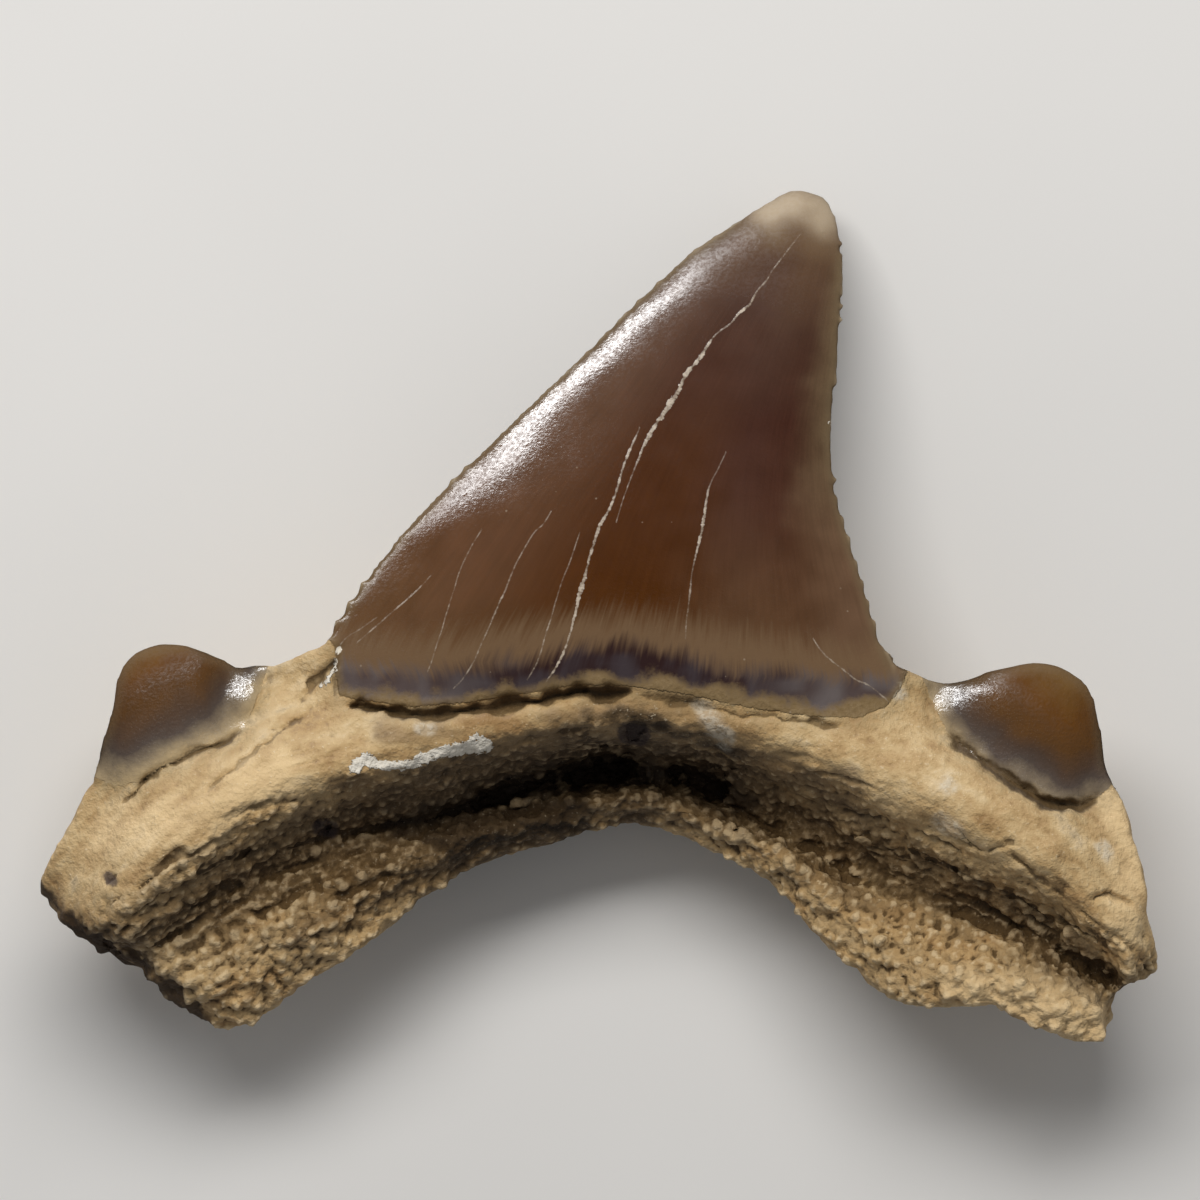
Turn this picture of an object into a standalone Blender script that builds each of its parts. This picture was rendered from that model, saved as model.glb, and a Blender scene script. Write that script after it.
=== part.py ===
"""A fossil shark's tooth that grew as one piece: an arched root, a leaning crown and two low side cusps.

The tooth lies on its back. X runs across the root, Y from the root to the tip of the crown, and Z up to
the tooth's outer face. The origin is on the table, below the middle of the tooth.
"""

import math

import bmesh
import bpy

MM = 0.001

# Driving dimensions, in millimetres
SPAN = 24.0
ARCH_OF_CROWN_BASE = 0.85
TABLE_BLOCK = (36.0, 24.0, 5.0)
SHARPEST_SMOOTH_ANGLE = math.radians(40)

# How finely each form is drawn: sections along it, and steps across one face of a section
ROOT_SECTIONS = 58
ROOT_STEPS = 20
CROWN_SECTIONS = 30
CROWN_STEPS = 17
CUSP_SECTIONS = 11
CUSP_STEPS = 9

# Outlines seen from above: the root's from the left lobe's end to the right lobe's end, and those of
# the crown and cusps from base to tip. The root spans from -SPAN / 2 to SPAN / 2
ROOT_UPPER_EDGE = [
    (-SPAN / 2, -5.8), (-11.5, -4.85), (-10.8, -3.4), (-9.6, -2.1), (-7.6, -1.25), (-6.0, -0.9),
    (-3.6, 0.1), (0.45, 0.7), (4.3, 0.1), (6.55, -1.2), (8.3, -1.55), (9.9, -2.1),
    (10.95, -3.6), (11.5, -5.2), (11.85, -6.6), (SPAN / 2, -7.75),
]
ROOT_LOWER_EDGE = [
    (-8.0, -8.85), (-7.1, -8.4), (-5.9, -7.6), (-4.6, -6.7), (-3.4, -5.9), (-2.3, -5.3),
    (-1.15, -4.9), (0.55, -4.55), (2.15, -4.95), (3.55, -5.7), (4.75, -6.8), (6.0, -8.0),
    (7.3, -8.35), (8.8, -8.5), (10.0, -8.95), (10.9, -9.15),
]
CROWN_LEFT_EDGE = [
    (-5.5, -2.0), (-5.75, -1.4), (-5.95, -0.8), (-5.3, 0.35), (-4.3, 1.75), (-3.15, 3.0),
    (-1.75, 4.35), (-0.2, 5.8), (1.15, 7.05), (2.4, 8.1), (3.35, 8.75), (3.95, 9.15),
]
CROWN_RIGHT_EDGE = [
    (6.1, -2.2), (6.4, -1.6), (6.2, -0.75), (5.85, 0.35), (5.4, 1.65), (5.15, 2.75),
    (5.1, 4.1), (5.2, 5.4), (5.3, 6.6), (5.3, 7.55), (5.15, 8.35), (4.8, 8.95),
]
LEFT_CUSP_LEFT_EDGE = [
    (-10.2, -4.1), (-10.75, -3.3), (-10.65, -2.5), (-10.45, -1.8), (-10.2, -1.2), (-9.8, -0.85),
]
LEFT_CUSP_RIGHT_EDGE = [
    (-7.1, -1.9), (-7.2, -1.2), (-7.7, -1.0), (-8.3, -0.8), (-8.8, -0.7), (-9.25, -0.67),
]
RIGHT_CUSP_LEFT_EDGE = [
    (7.5, -2.75), (7.25, -1.9), (7.5, -1.5), (8.1, -1.4), (8.7, -1.15), (9.3, -1.1),
]
RIGHT_CUSP_RIGHT_EDGE = [
    (10.6, -4.1), (10.95, -3.35), (10.8, -2.65), (10.65, -2.0), (10.45, -1.5), (10.0, -1.2),
]

# The root's section at nine stations: where its ridge, trough and lip lie, as shares of the way from
# the upper edge to the lower one, and how high each is above the table
STATIONS = (0, 1, 3, 5, 7, 9, 12, 14, 15)
RIDGE_AT = (0.26, 0.28, 0.30, 0.36, 0.50, 0.38, 0.36, 0.34, 0.34)
TROUGH_AT = (0.50, 0.56, 0.64, 0.73, 0.79, 0.75, 0.65, 0.60, 0.58)
LIP_AT = (0.78, 0.80, 0.85, 0.88, 0.92, 0.88, 0.84, 0.80, 0.78)
UPPER_EDGE_HEIGHT = (3.2, 3.5, 4.1, 4.4, 4.2, 4.5, 4.3, 3.7, 3.4)
RIDGE_HEIGHT = (3.8, 4.7, 5.7, 5.3, 5.0, 5.2, 5.9, 5.0, 4.2)
TROUGH_HEIGHT = (3.5, 3.7, 3.8, 3.0, 2.1, 2.7, 3.7, 4.0, 3.9)
LIP_HEIGHT = (3.3, 3.6, 3.9, 3.4, 3.0, 3.3, 3.9, 3.9, 3.7)
LOWER_EDGE_HEIGHT = (2.7, 2.7, 2.8, 2.4, 2.1, 2.4, 2.7, 2.9, 3.0)
BACK_UPPER_HEIGHT = (2.6, 2.6, 2.9, 3.1, 2.2, 3.2, 3.1, 2.8, 2.8)
BELLY_HEIGHT = (2.2, 1.6, 1.0, 0.15, -0.55, 0.2, 1.1, 1.7, 2.3)
BACK_LOWER_HEIGHT = (2.3, 2.0, 1.8, 1.1, 0.8, 1.1, 1.8, 2.1, 2.5)
BELLY_AT = 0.56
EDGE_WALL = 0.12
EDGE_ROUNDING = 0.30

# Crown and cusps from base to tip: the height of their edges, and how far they swell to each side
CROWN_EDGE_HEIGHT = (5.00, 4.65, 4.00, 3.15, 2.25, 1.38, 0.55)
CROWN_FRONT_SWELL = (0.60, 0.80, 0.90, 0.85, 0.75, 0.60, 0.35)
CROWN_BACK_SWELL = (3.0, 2.7, 2.25, 1.75, 1.25, 0.85, 0.40)
CUSP_EDGE_HEIGHT = (4.0, 3.8, 3.5, 3.3)
CUSP_FRONT_SWELL = (1.20, 1.15, 0.85, 0.40)
CUSP_BACK_SWELL = (1.3, 1.2, 0.9, 0.4)
FRONT_FULLNESS = 3.6
BACK_FULLNESS = 2.0


def smooth_curve(places, values, place):
    """A smooth curve through values at rising places, read at any place between them."""
    index = next(i for i in range(len(places) - 1) if place <= places[i + 1] or i == len(places) - 2)

    def slope(i):
        before, after = max(i - 1, 0), min(i + 1, len(places) - 1)
        return (values[after] - values[before]) / (places[after] - places[before])

    width = places[index + 1] - places[index]
    step = (place - places[index]) / width
    return (
        values[index] * (1 + 2 * step) * (1 - step) ** 2
        + slope(index) * width * step * (1 - step) ** 2
        + values[index + 1] * step**2 * (3 - 2 * step)
        + slope(index + 1) * width * step**2 * (step - 1)
    )


def between(values, share):
    """A smooth curve through evenly spaced values, read at a share of its length."""
    return smooth_curve(range(len(values)), values, share * (len(values) - 1))


def point_between(points, share):
    """The same smooth curve through the points of an outline."""
    return tuple(between([point[axis] for point in points], share) for axis in (0, 1))


def eased(knots, place):
    """The height at a place across the section, level at each of its knots."""
    index = next(i for i in range(len(knots) - 1) if place <= knots[i + 1][0])
    (low, start), (high, end) = knots[index], knots[index + 1]
    step = (place - low) / (high - low)
    return start + (end - start) * step * step * (3 - 2 * step)


def root_ring(share):
    """One closed section of the root: its outer face from the upper to the lower edge, then its back."""
    station = share * (len(ROOT_UPPER_EDGE) - 1)
    upper = point_between(ROOT_UPPER_EDGE, share)
    lower = point_between(ROOT_LOWER_EDGE, share)

    def here(values):
        return smooth_curve(STATIONS, values, station)

    front = [
        (0.0, here(UPPER_EDGE_HEIGHT)),
        (here(RIDGE_AT), here(RIDGE_HEIGHT)),
        (here(TROUGH_AT), here(TROUGH_HEIGHT)),
        (here(LIP_AT), here(LIP_HEIGHT)),
        (1.0, here(LOWER_EDGE_HEIGHT)),
    ]
    back = [(0.0, here(BACK_UPPER_HEIGHT)), (BELLY_AT, here(BELLY_HEIGHT)), (1.0, here(BACK_LOWER_HEIGHT))]
    ring = []
    for knots, steps in ((front, range(ROOT_STEPS + 1)), (back, range(ROOT_STEPS, -1, -1))):
        for i in steps:
            place = 0.5 - 0.5 * math.cos(math.pi * i / ROOT_STEPS)
            to_edge = min(min(place, 1 - place) / EDGE_ROUNDING, 1.0)
            edge = here(UPPER_EDGE_HEIGHT) * (1 - place) + here(LOWER_EDGE_HEIGHT) * place
            fullness = EDGE_WALL + (1 - EDGE_WALL) * math.sqrt(1 - (1 - to_edge) ** 2)
            height = edge + (eased(knots, place) - edge) * fullness
            x = upper[0] + (lower[0] - upper[0]) * place
            y = upper[1] + (lower[1] - upper[1]) * place
            ring.append((x, y, height))
    return ring


def blade_ring(share, steps, left_edge, right_edge, edge_heights, front_swells, back_swells, rise):
    """One closed section of a crown or cusp: a lens between its edges, bowed up as its base is arched."""
    left, right = point_between(left_edge, share), point_between(right_edge, share)
    edge = between(edge_heights, share)
    bow = rise * (1 - share) ** 3
    sides = (
        (between(front_swells, share), FRONT_FULLNESS, range(steps + 1)),
        (-between(back_swells, share), BACK_FULLNESS, range(steps - 1, 0, -1)),
    )
    ring = []
    for swell, fullness, order in sides:
        for i in order:
            place = 0.5 - 0.5 * math.cos(math.pi * i / steps)
            arch = math.sin(math.pi * place)
            x = left[0] + (right[0] - left[0]) * place
            y = left[1] + (right[1] - left[1]) * place + bow * arch * arch
            ring.append((x, y, edge + swell * (1 - abs(2 * place - 1) ** fullness)))
    return ring


def loft(name, rings):
    """A closed skin over a row of sections with equal numbers of points."""
    mesh = bpy.data.meshes.new(name)
    work = bmesh.new()
    rows = [[work.verts.new([MM * value for value in point]) for point in ring] for ring in rings]
    for row, following in zip(rows, rows[1:]):
        for i in range(len(row)):
            j = (i + 1) % len(row)
            work.faces.new((row[i], row[j], following[j], following[i]))
    work.faces.new(rows[0])
    work.faces.new(rows[-1])
    bmesh.ops.triangulate(work, faces=[face for face in work.faces if len(face.verts) > 4])
    bmesh.ops.recalc_face_normals(work, faces=work.faces)
    work.to_mesh(mesh)
    work.free()
    return bpy.data.objects.new(name, mesh)


def make_root():
    """The arched root, two lobes about a hollow, with a boss behind its middle."""
    rings = [root_ring(i / (ROOT_SECTIONS - 1)) for i in range(ROOT_SECTIONS)]
    return loft("tooth", rings)


def make_blade(name, sections, steps, *shape):
    """A crown or a cusp, lofted from its base to its tip."""
    rings = [blade_ring(i / (sections - 1), steps, *shape) for i in range(sections)]
    return loft(name, rings)


def make_table():
    """The block that trims the boss to the small flat spot on which the tooth rests."""
    bpy.ops.mesh.primitive_cube_add(size=1)
    table = bpy.context.object
    table.name = "table_cut"
    table.dimensions = [side * MM for side in TABLE_BLOCK]
    table.location = (0, 0, -TABLE_BLOCK[2] / 2 * MM)
    return table


def into(name, *objects):
    """Puts objects in a collection of their own."""
    collection = bpy.data.collections.new(name)
    bpy.context.scene.collection.children.link(collection)
    for item in objects:
        for other in item.users_collection:
            other.objects.unlink(item)
        collection.objects.link(item)


def join_or_cut(target, tool, operation):
    """A Boolean that stays on the target and hides its tool."""
    modifier = target.modifiers.new(f"{operation.lower()} {tool.name}", "BOOLEAN")
    modifier.operation = operation
    modifier.solver = "EXACT"
    modifier.object = tool
    tool.hide_render = True
    tool.display_type = "WIRE"


def tooth_material():
    """Tan fossil root, with the sheen of enamel left to the finish."""
    material = bpy.data.materials.new("fossil_tooth")
    material.use_nodes = True
    shader = material.node_tree.nodes["Principled BSDF"]
    shader.inputs["Base Color"].default_value = (0.33, 0.19, 0.08, 1.0)
    shader.inputs["Roughness"].default_value = 0.6
    shader.inputs["Metallic"].default_value = 0.0
    return material


def build():
    """Empties the scene and makes the tooth."""
    for item in list(bpy.data.objects):
        bpy.data.objects.remove(item)
    tooth = make_root()
    crown = make_blade(
        "crown_form", CROWN_SECTIONS, CROWN_STEPS, CROWN_LEFT_EDGE, CROWN_RIGHT_EDGE,
        CROWN_EDGE_HEIGHT, CROWN_FRONT_SWELL, CROWN_BACK_SWELL, ARCH_OF_CROWN_BASE,
    )
    left_cusp = make_blade(
        "left_cusp_form", CUSP_SECTIONS, CUSP_STEPS, LEFT_CUSP_LEFT_EDGE, LEFT_CUSP_RIGHT_EDGE,
        CUSP_EDGE_HEIGHT, CUSP_FRONT_SWELL, CUSP_BACK_SWELL, 0.0,
    )
    right_cusp = make_blade(
        "right_cusp_form", CUSP_SECTIONS, CUSP_STEPS, RIGHT_CUSP_LEFT_EDGE, RIGHT_CUSP_RIGHT_EDGE,
        CUSP_EDGE_HEIGHT, CUSP_FRONT_SWELL, CUSP_BACK_SWELL, 0.0,
    )
    table = make_table()
    into("fossil_shark_tooth", tooth)
    into("cutters", crown, left_cusp, right_cusp, table)
    for form in (crown, left_cusp, right_cusp):
        join_or_cut(tooth, form, "UNION")
    join_or_cut(tooth, table, "DIFFERENCE")
    tooth.data.materials.append(tooth_material())
    tooth.data.shade_smooth()
    tooth.data.set_sharp_from_angle(angle=SHARPEST_SMOOTH_ANGLE)


build()
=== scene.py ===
# %% [markdown]
# # A fossil shark tooth, lying on its back
#
# The object is one tooth, 24 mm across, that grew as one piece: a glossy brown crown, two low side cusps
# and a dry, grainy root that arches between two lobes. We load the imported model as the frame, give it a
# finely shaped skin, and then a finish that follows that skin.

import bmesh
import bpy
import numpy as np
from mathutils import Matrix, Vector


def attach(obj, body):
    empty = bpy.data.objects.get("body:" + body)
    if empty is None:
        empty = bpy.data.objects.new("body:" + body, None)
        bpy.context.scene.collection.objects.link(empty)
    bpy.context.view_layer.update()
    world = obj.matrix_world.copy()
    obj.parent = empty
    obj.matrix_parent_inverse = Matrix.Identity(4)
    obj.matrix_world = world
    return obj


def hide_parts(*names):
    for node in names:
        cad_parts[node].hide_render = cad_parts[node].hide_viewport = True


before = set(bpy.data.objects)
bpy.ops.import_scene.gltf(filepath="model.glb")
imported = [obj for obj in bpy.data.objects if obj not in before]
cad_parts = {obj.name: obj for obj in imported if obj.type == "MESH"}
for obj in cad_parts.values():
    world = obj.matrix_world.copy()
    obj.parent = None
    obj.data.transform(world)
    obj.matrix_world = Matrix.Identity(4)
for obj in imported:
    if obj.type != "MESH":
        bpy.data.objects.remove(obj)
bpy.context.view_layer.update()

# %% [markdown]
# ## Measures
#
# All shapes are drawn in millimetres, seen from above, and turned into metres at the end. Outlines were
# read off on a grid of 1200 by 1200 steps. The root spans 1118 of these steps, which are 24 mm, so
# `at` can turn a place on the grid into millimetres from the tooth's middle.

# %% From grid to millimetres
SPAN = 24.0
SPAN_STEPS = 1118
STEP = SPAN / SPAN_STEPS
MIDDLE = (599.0, 614.5)
METRES = 0.001


def at(points):
    """Places on the grid as millimetres right of and above the tooth's middle."""
    grid = np.asarray(points, dtype=float)
    return np.stack([(grid[..., 0] - MIDDLE[0]) * STEP, (MIDDLE[1] - grid[..., 1]) * STEP], axis=-1)


print("one grid step is", round(STEP, 4), "mm")

# %% [markdown]
# ## Curves to draw with
#
# A tooth has no straight line. `flow` runs a smooth curve through rows of values, `curve` reads a smooth
# height between a few stated ones, and `ease` goes from one level to the next without a corner. The first
# two bend each stretch to the slopes at its ends; splines from a library would do too, but need more text.

# %% Smooth curves


def bent(t, start, end, slope_in, slope_out):
    """A smooth run from start to end that has a given slope at each."""
    return (
        start * (1 + 2 * t) * (1 - t) ** 2
        + slope_in * t * (1 - t) ** 2
        + end * t**2 * (3 - 2 * t)
        + slope_out * t**2 * (t - 1)
    )


def flow(rows, places):
    """A smooth curve through rows of values, read at places counted in rows."""
    rows = np.asarray(rows, dtype=float)
    places = np.clip(places, 0, len(rows) - 1)
    low = np.minimum(places.astype(int), len(rows) - 2)
    t = (places - low).reshape((-1,) + (1,) * (rows.ndim - 1))
    before, start = rows[np.maximum(low - 1, 0)], rows[low]
    end, after = rows[low + 1], rows[np.minimum(low + 2, len(rows) - 1)]
    return bent(t, start, end, (end - before) / 2, (after - start) / 2)


def curve(knots, places):
    """A smooth height through (place, height) knots."""
    x, y = np.array(knots, dtype=float).T
    slopes = np.gradient(y, x)
    low = np.clip(np.searchsorted(x, places, side="right") - 1, 0, len(x) - 2)
    width = x[low + 1] - x[low]
    t = np.clip((places - x[low]) / width, 0, 1)
    return bent(t, y[low], y[low + 1], slopes[low] * width, slopes[low + 1] * width)


def gentle(t):
    """From 0 to 1 without a corner at either end."""
    return t * t * (3 - 2 * t)


def ease(value, low, high):
    """0 below low and 1 above high, with a soft rise between."""
    return gentle(np.clip((value - low) / (high - low), 0, 1))


print("halfway between two levels of 1 and 3:", curve([(0, 1), (1, 3)], np.array([0.5])))

# %% [markdown]
# ## The root
#
# The root is a loft between unlike sections, from the broken end of the left lobe to that of the right
# one. Each section is a line on the grid from the root's upper edge to its lower edge. Across it the outer
# face rises to a smooth ridge, falls into the trough of the root's base and rises again to a grainy lip.
# The back swells to the boss that the tooth rests on.

# %% Sections of the root
ROOT_SECTIONS = [
    [
        (40, 887), (57, 913), (78, 935), (96, 948), (120, 957), (139, 967), (154, 985), (172, 1000),
        (218, 1027),
    ],
    [(41, 880), (90, 922), (150, 955), (188, 990), (238, 1024)],
    [(48, 868), (254, 1022)],
    [(54, 850), (269, 1011)],
    [(70, 830), (293, 989)],
    [(82, 800), (323, 972)],
    [(95, 777), (345, 961)],
    [(118, 742), (358, 952)],
    [(150, 712), (375, 938)],
    [(190, 690), (400, 915)],
    [(238, 668), (430, 892)],
    [(280, 664), (460, 875)],
    [(312, 652), (497, 858)],
    [(360, 630), (540, 845)],
    [(430, 606), (575, 834)],
    [(520, 588), (600, 828)],
    [(620, 580), (625, 823)],
    [(710, 586), (650, 827)],
    [(780, 600), (680, 835)],
    [(840, 630), (700, 845)],
    [(880, 655), (730, 860)],
    [(905, 671), (760, 875)],
    [(930, 680), (780, 890)],
    [(960, 686), (800, 915)],
    [(992, 692), (830, 945)],
    [(1028, 700), (860, 971)],
    [(1062, 718), (891, 995)],
    [(1090, 745), (921, 1005)],
    [(1106, 773), (950, 1005)],
    [(1115, 792), (966, 1006)],
    [(1125, 812), (982, 1001)],
    [(1131, 838), (1001, 1008)],
    [(1139, 862), (1023, 1022)],
    [(1145, 890), (1064, 1034)],
    [(1149, 920), (1084, 1043)],
    [(1155, 948), (1128, 975), (1108, 1000), (1097, 1044)],
    [(1158, 970), (1136, 981), (1108, 990), (1105, 1012), (1105, 1044)],
]
# For some of the sections: where ridge, trough and lip lie across it, then the heights in mm of the upper
# edge, ridge, trough, lip and lower edge, and of the back at its upper edge, belly and lower edge
ROOT_SHAPE = {
    0: (0.30, 0.54, 0.78, 3.2, 3.5, 3.3, 3.2, 2.9, 2.6, 2.3, 2.3),
    1: (0.32, 0.56, 0.78, 3.5, 4.5, 3.9, 3.8, 3.2, 2.5, 1.9, 2.1),
    3: (0.34, 0.60, 0.80, 4.0, 5.2, 4.0, 4.1, 3.4, 2.6, 1.6, 2.0),
    8: (0.40, 0.68, 0.86, 4.4, 5.8, 3.8, 4.1, 3.5, 2.9, 1.0, 1.8),
    10: (0.45, 0.73, 0.88, 4.0, 5.68, 3.4, 3.8, 3.1, 2.9, 0.57, 1.45),
    12: (0.49, 0.79, 0.90, 4.7, 5.50, 3.0, 3.5, 2.8, 3.1, 0.15, 1.1),
    16: (0.56, 0.80, 0.92, 4.7, 5.32, 2.2, 3.0, 2.3, 2.2, -0.55, 0.8),
    21: (0.42, 0.79, 0.90, 4.7, 5.40, 2.7, 3.4, 2.8, 3.2, 0.2, 1.1),
    23: (0.41, 0.75, 0.89, 4.2, 5.60, 3.0, 3.65, 3.1, 3.15, 0.45, 1.3),
    28: (0.38, 0.64, 0.88, 4.6, 5.85, 3.8, 4.5, 4.2, 3.1, 1.1, 1.8),
    31: (0.36, 0.60, 0.87, 4.9, 5.5, 3.9, 4.6, 4.4, 2.9, 1.4, 2.0),
    33: (0.34, 0.58, 0.86, 5.0, 5.3, 3.9, 4.6, 4.4, 2.8, 1.7, 2.1),
    36: (0.34, 0.56, 0.84, 4.0, 4.4, 3.8, 4.2, 4.0, 2.8, 2.3, 2.5),
}
print("the root has", len(ROOT_SECTIONS), "sections and", len(ROOT_SHAPE), "stated shapes")

# %% [markdown]
# A mesh needs far more sections than we drew. We share each line out into the same number of points, closer
# together near both edges where the face turns over, and let smooth curves run from section to section.

# %% Loft of the root
ACROSS, ALONG = 96, 620
EDGE_WALL, UPPER_ROUNDING, LOWER_ROUNDING, BELLY_AT = 0.12, 0.16, 0.11, 0.56


def run_along(line):
    """How far along a line in mm each of its points lies."""
    return np.concatenate([[0], np.cumsum(np.linalg.norm(np.diff(line, axis=0), axis=1))])


def line_at(line, shares):
    """Points at shares of the length of a line on the grid."""
    line = at(line)
    run = run_along(line)
    return np.stack([np.interp(shares * run[-1], run, line[:, axis]) for axis in (0, 1)], axis=-1)


def denser_at_ends(steps):
    """Shares from 0 to 1 that lie closer together near both ends."""
    return 0.5 - 0.5 * np.cos(np.pi * np.arange(steps + 1) / steps)


def eased_across(knots, heights, shares):
    """Heights across each section, level at each knot."""
    height = np.repeat(heights[0][:, None], len(shares), axis=1)
    for i in range(len(knots) - 1):
        t = np.clip((shares[None] - knots[i][:, None]) / (knots[i + 1] - knots[i])[:, None], 0, 1)
        height = height + (heights[i + 1] - heights[i])[:, None] * gentle(t)
    return height


def root_rings():
    """The root's closed sections as an array of rings of points."""
    share = denser_at_ends(ACROSS)
    place = np.linspace(0, len(ROOT_SECTIONS) - 1, ALONG)
    flat = flow([line_at(section, share) for section in ROOT_SECTIONS], place)
    stated = sorted(ROOT_SHAPE)
    shape = [curve([(s, ROOT_SHAPE[s][i]) for s in stated], place) for i in range(len(ROOT_SHAPE[0]))]
    ridge_at, trough_at, lip_at, upper, ridge, trough, lip, lower, back_upper, belly, back_lower = shape
    none, whole = np.zeros(ALONG), np.ones(ALONG)
    knots = [none, ridge_at, trough_at, lip_at, whole]
    front = eased_across(knots, [upper, ridge, trough, lip, lower], share)
    back = eased_across([none, BELLY_AT * whole, whole], [back_upper, belly, back_lower], share)
    edge = upper[:, None] * (1 - share) + lower[:, None] * share
    to_edge = np.minimum(np.minimum(share / UPPER_ROUNDING, (1 - share) / LOWER_ROUNDING), 1)
    fullness = EDGE_WALL + (1 - EDGE_WALL) * np.sqrt(1 - (1 - to_edge) ** 2)
    outer = np.dstack([flat, edge + (front - edge) * fullness])
    inner = np.dstack([flat, edge + (back - edge) * fullness])
    return np.concatenate([outer, inner[:, ::-1]], axis=1)


root = root_rings()
print("root:", root.shape[0], "sections of", root.shape[1], "points")

# %% [markdown]
# ## Crown and cusps
#
# A shark's crown is a blade: nearly flat on the outer face, well rounded on the back, with a sharp edge on
# each side. Each section is a lens between the two edges. The base of the crown is arched, so its
# lowest sections are bowed.

# %% Edges of the blades
# From base to tip: a place on the left edge and one on the right edge
CROWN_EDGES = [
    ((344, 706), (882, 718)), ((334, 690), (893, 703)), ((327, 672), (899, 688)), ((322, 655), (894, 664)),
    ((330, 630), (882, 636)), ((340, 611), (874, 611)), ((356, 588), (868, 588)), ((376, 561), (859, 561)),
    ((404, 527), (849, 529)), ((434, 496), (841, 497)), ((462, 467), (837, 462)), ((491, 439), (835, 430)),
    ((527, 405), (838, 398)), ((564, 370), (842, 358)), ((594, 340), (844, 326)), ((625, 309), (846, 300)),
    ((655, 281), (847, 277)), ((686, 253), (847, 256)), ((718, 231), (845, 238)), ((748, 211), (841, 220)),
    ((771, 198), (835, 206)), ((786, 190), (828, 197)),
]
LEFT_CUSP_EDGES = [
    ((112, 800), (240, 718)), ((98, 775), (238, 702)), ((97, 754), (240, 684)), ((106, 727), (239, 668)),
    ((112, 703), (225, 658)), ((117, 678), (206, 651)), ((125, 662), (196, 647)), ((136, 652), (187, 645)),
    ((150, 647), (176, 644)),
]
RIGHT_CUSP_EDGES = [
    ((948, 742), (1100, 797)), ((938, 715), (1107, 772)), ((940, 692), (1104, 742)),
    ((950, 681), (1099, 713)), ((968, 679), (1092, 691)), ((985, 671), (1081, 678)),
    ((1006, 668), (1064, 667)), ((1022, 664), (1045, 663)),
]
print("the crown is drawn with", len(CROWN_EDGES), "pairs of edge points")

# %% [markdown]
# The lens changes from base to tip. Along each blade we state the height of its edges, how far the outer
# face and the back swell out from them, and how far the section bows up. A high power keeps the outer face
# flat and turns it down late, and a power of two makes the back as round as a bow.

# %% Loft of the blades
CROWN_SHAPE = {
    0.00: (4.90, 0.48, 2.90, 0.50), 0.14: (4.74, 0.56, 2.80, 0.34), 0.35: (4.08, 0.76, 2.30, 0.10),
    0.55: (3.10, 0.60, 1.75, 0.0), 0.72: (2.28, 0.49, 1.25, 0.0), 0.86: (1.58, 0.40, 0.85, 0.0),
    1.00: (0.85, 0.32, 0.45, 0.10),
}
CUSP_SHAPE = {
    0.0: (4.30, 0.75, 1.65, -0.30), 0.4: (4.18, 0.66, 1.60, -0.12), 0.75: (4.12, 0.28, 1.35, 0.0),
    1.0: (4.08, 0.14, 0.80, 0.08),
}
FRONT_FULLNESS, BACK_FULLNESS = 3.0, 2.0


def blade_rings(edges, shape, sections, steps):
    """The closed sections of a crown or a cusp."""
    share = denser_at_ends(steps)
    place = np.linspace(0, len(edges) - 1, sections)
    left, right = [flow(at([pair[i] for pair in edges]), place) for i in (0, 1)]
    rise = place / place[-1]
    stated = sorted(shape)
    edge, front, back, bow = [curve([(r, shape[r][i]) for r in stated], rise)[:, None] for i in range(4)]
    flat = left[:, None] + (right - left)[:, None] * share[None, :, None]
    flat[:, :, 1] += bow * np.sin(np.pi * share) ** 2
    bulge = np.abs(2 * share - 1)
    outer = np.dstack([flat, edge + front * (1 - bulge**FRONT_FULLNESS)])
    inner = np.dstack([flat, edge - back * (1 - bulge**BACK_FULLNESS)])
    return np.concatenate([outer, inner[:, -2:0:-1]], axis=1)


blades = [
    blade_rings(CROWN_EDGES, CROWN_SHAPE, sections=300, steps=110),
    blade_rings(LEFT_CUSP_EDGES, CUSP_SHAPE, sections=90, steps=60),
    blade_rings(RIGHT_CUSP_EDGES, CUSP_SHAPE, sections=90, steps=60),
]
print("blades:", [blade.shape[:2] for blade in blades])

# %% [markdown]
# ## One skin
#
# The tooth grew as one piece, so the four lofts become one closed skin. A Boolean would leave a hard seam
# where they meet. A voxel Remesh fuses them and spreads its points evenly, which is what sculpting needs.

# %% Fuse the lofts
VOXEL = 0.138


def loft_mesh(name, all_rings):
    """One mesh that holds a closed skin over each row of rings."""
    corners, faces, first = [], [], 0
    for rings in all_rings:
        rows, ring = rings.shape[:2]
        index = first + np.arange(rows * ring).reshape(rows, ring)
        turned = np.roll(index, -1, axis=1)
        quads = np.stack([index[:-1], index[1:], turned[1:], turned[:-1]], axis=-1).reshape(-1, 4)
        faces += quads.tolist() + [index[0].tolist(), index[-1][::-1].tolist()]
        corners.append(rings.reshape(-1, 3))
        first += rows * ring
    mesh = bpy.data.meshes.new(name)
    mesh.from_pydata(np.concatenate(corners).tolist(), [], faces)
    return mesh


def fused(mesh, voxel):
    """A new mesh: one closed skin round all parts of the old one."""
    forms = bpy.data.objects.new(mesh.name, mesh)
    bpy.context.scene.collection.objects.link(forms)
    remesh = forms.modifiers.new("fuse", "REMESH")
    remesh.mode = "VOXEL"
    remesh.voxel_size = voxel
    whole = bpy.data.meshes.new_from_object(forms.evaluated_get(bpy.context.evaluated_depsgraph_get()))
    bpy.data.objects.remove(forms)
    return whole


skin = fused(loft_mesh("tooth_forms", [root] + blades), VOXEL)
print("fused skin:", len(skin.vertices), "points,", len(skin.polygons), "faces")

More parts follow.
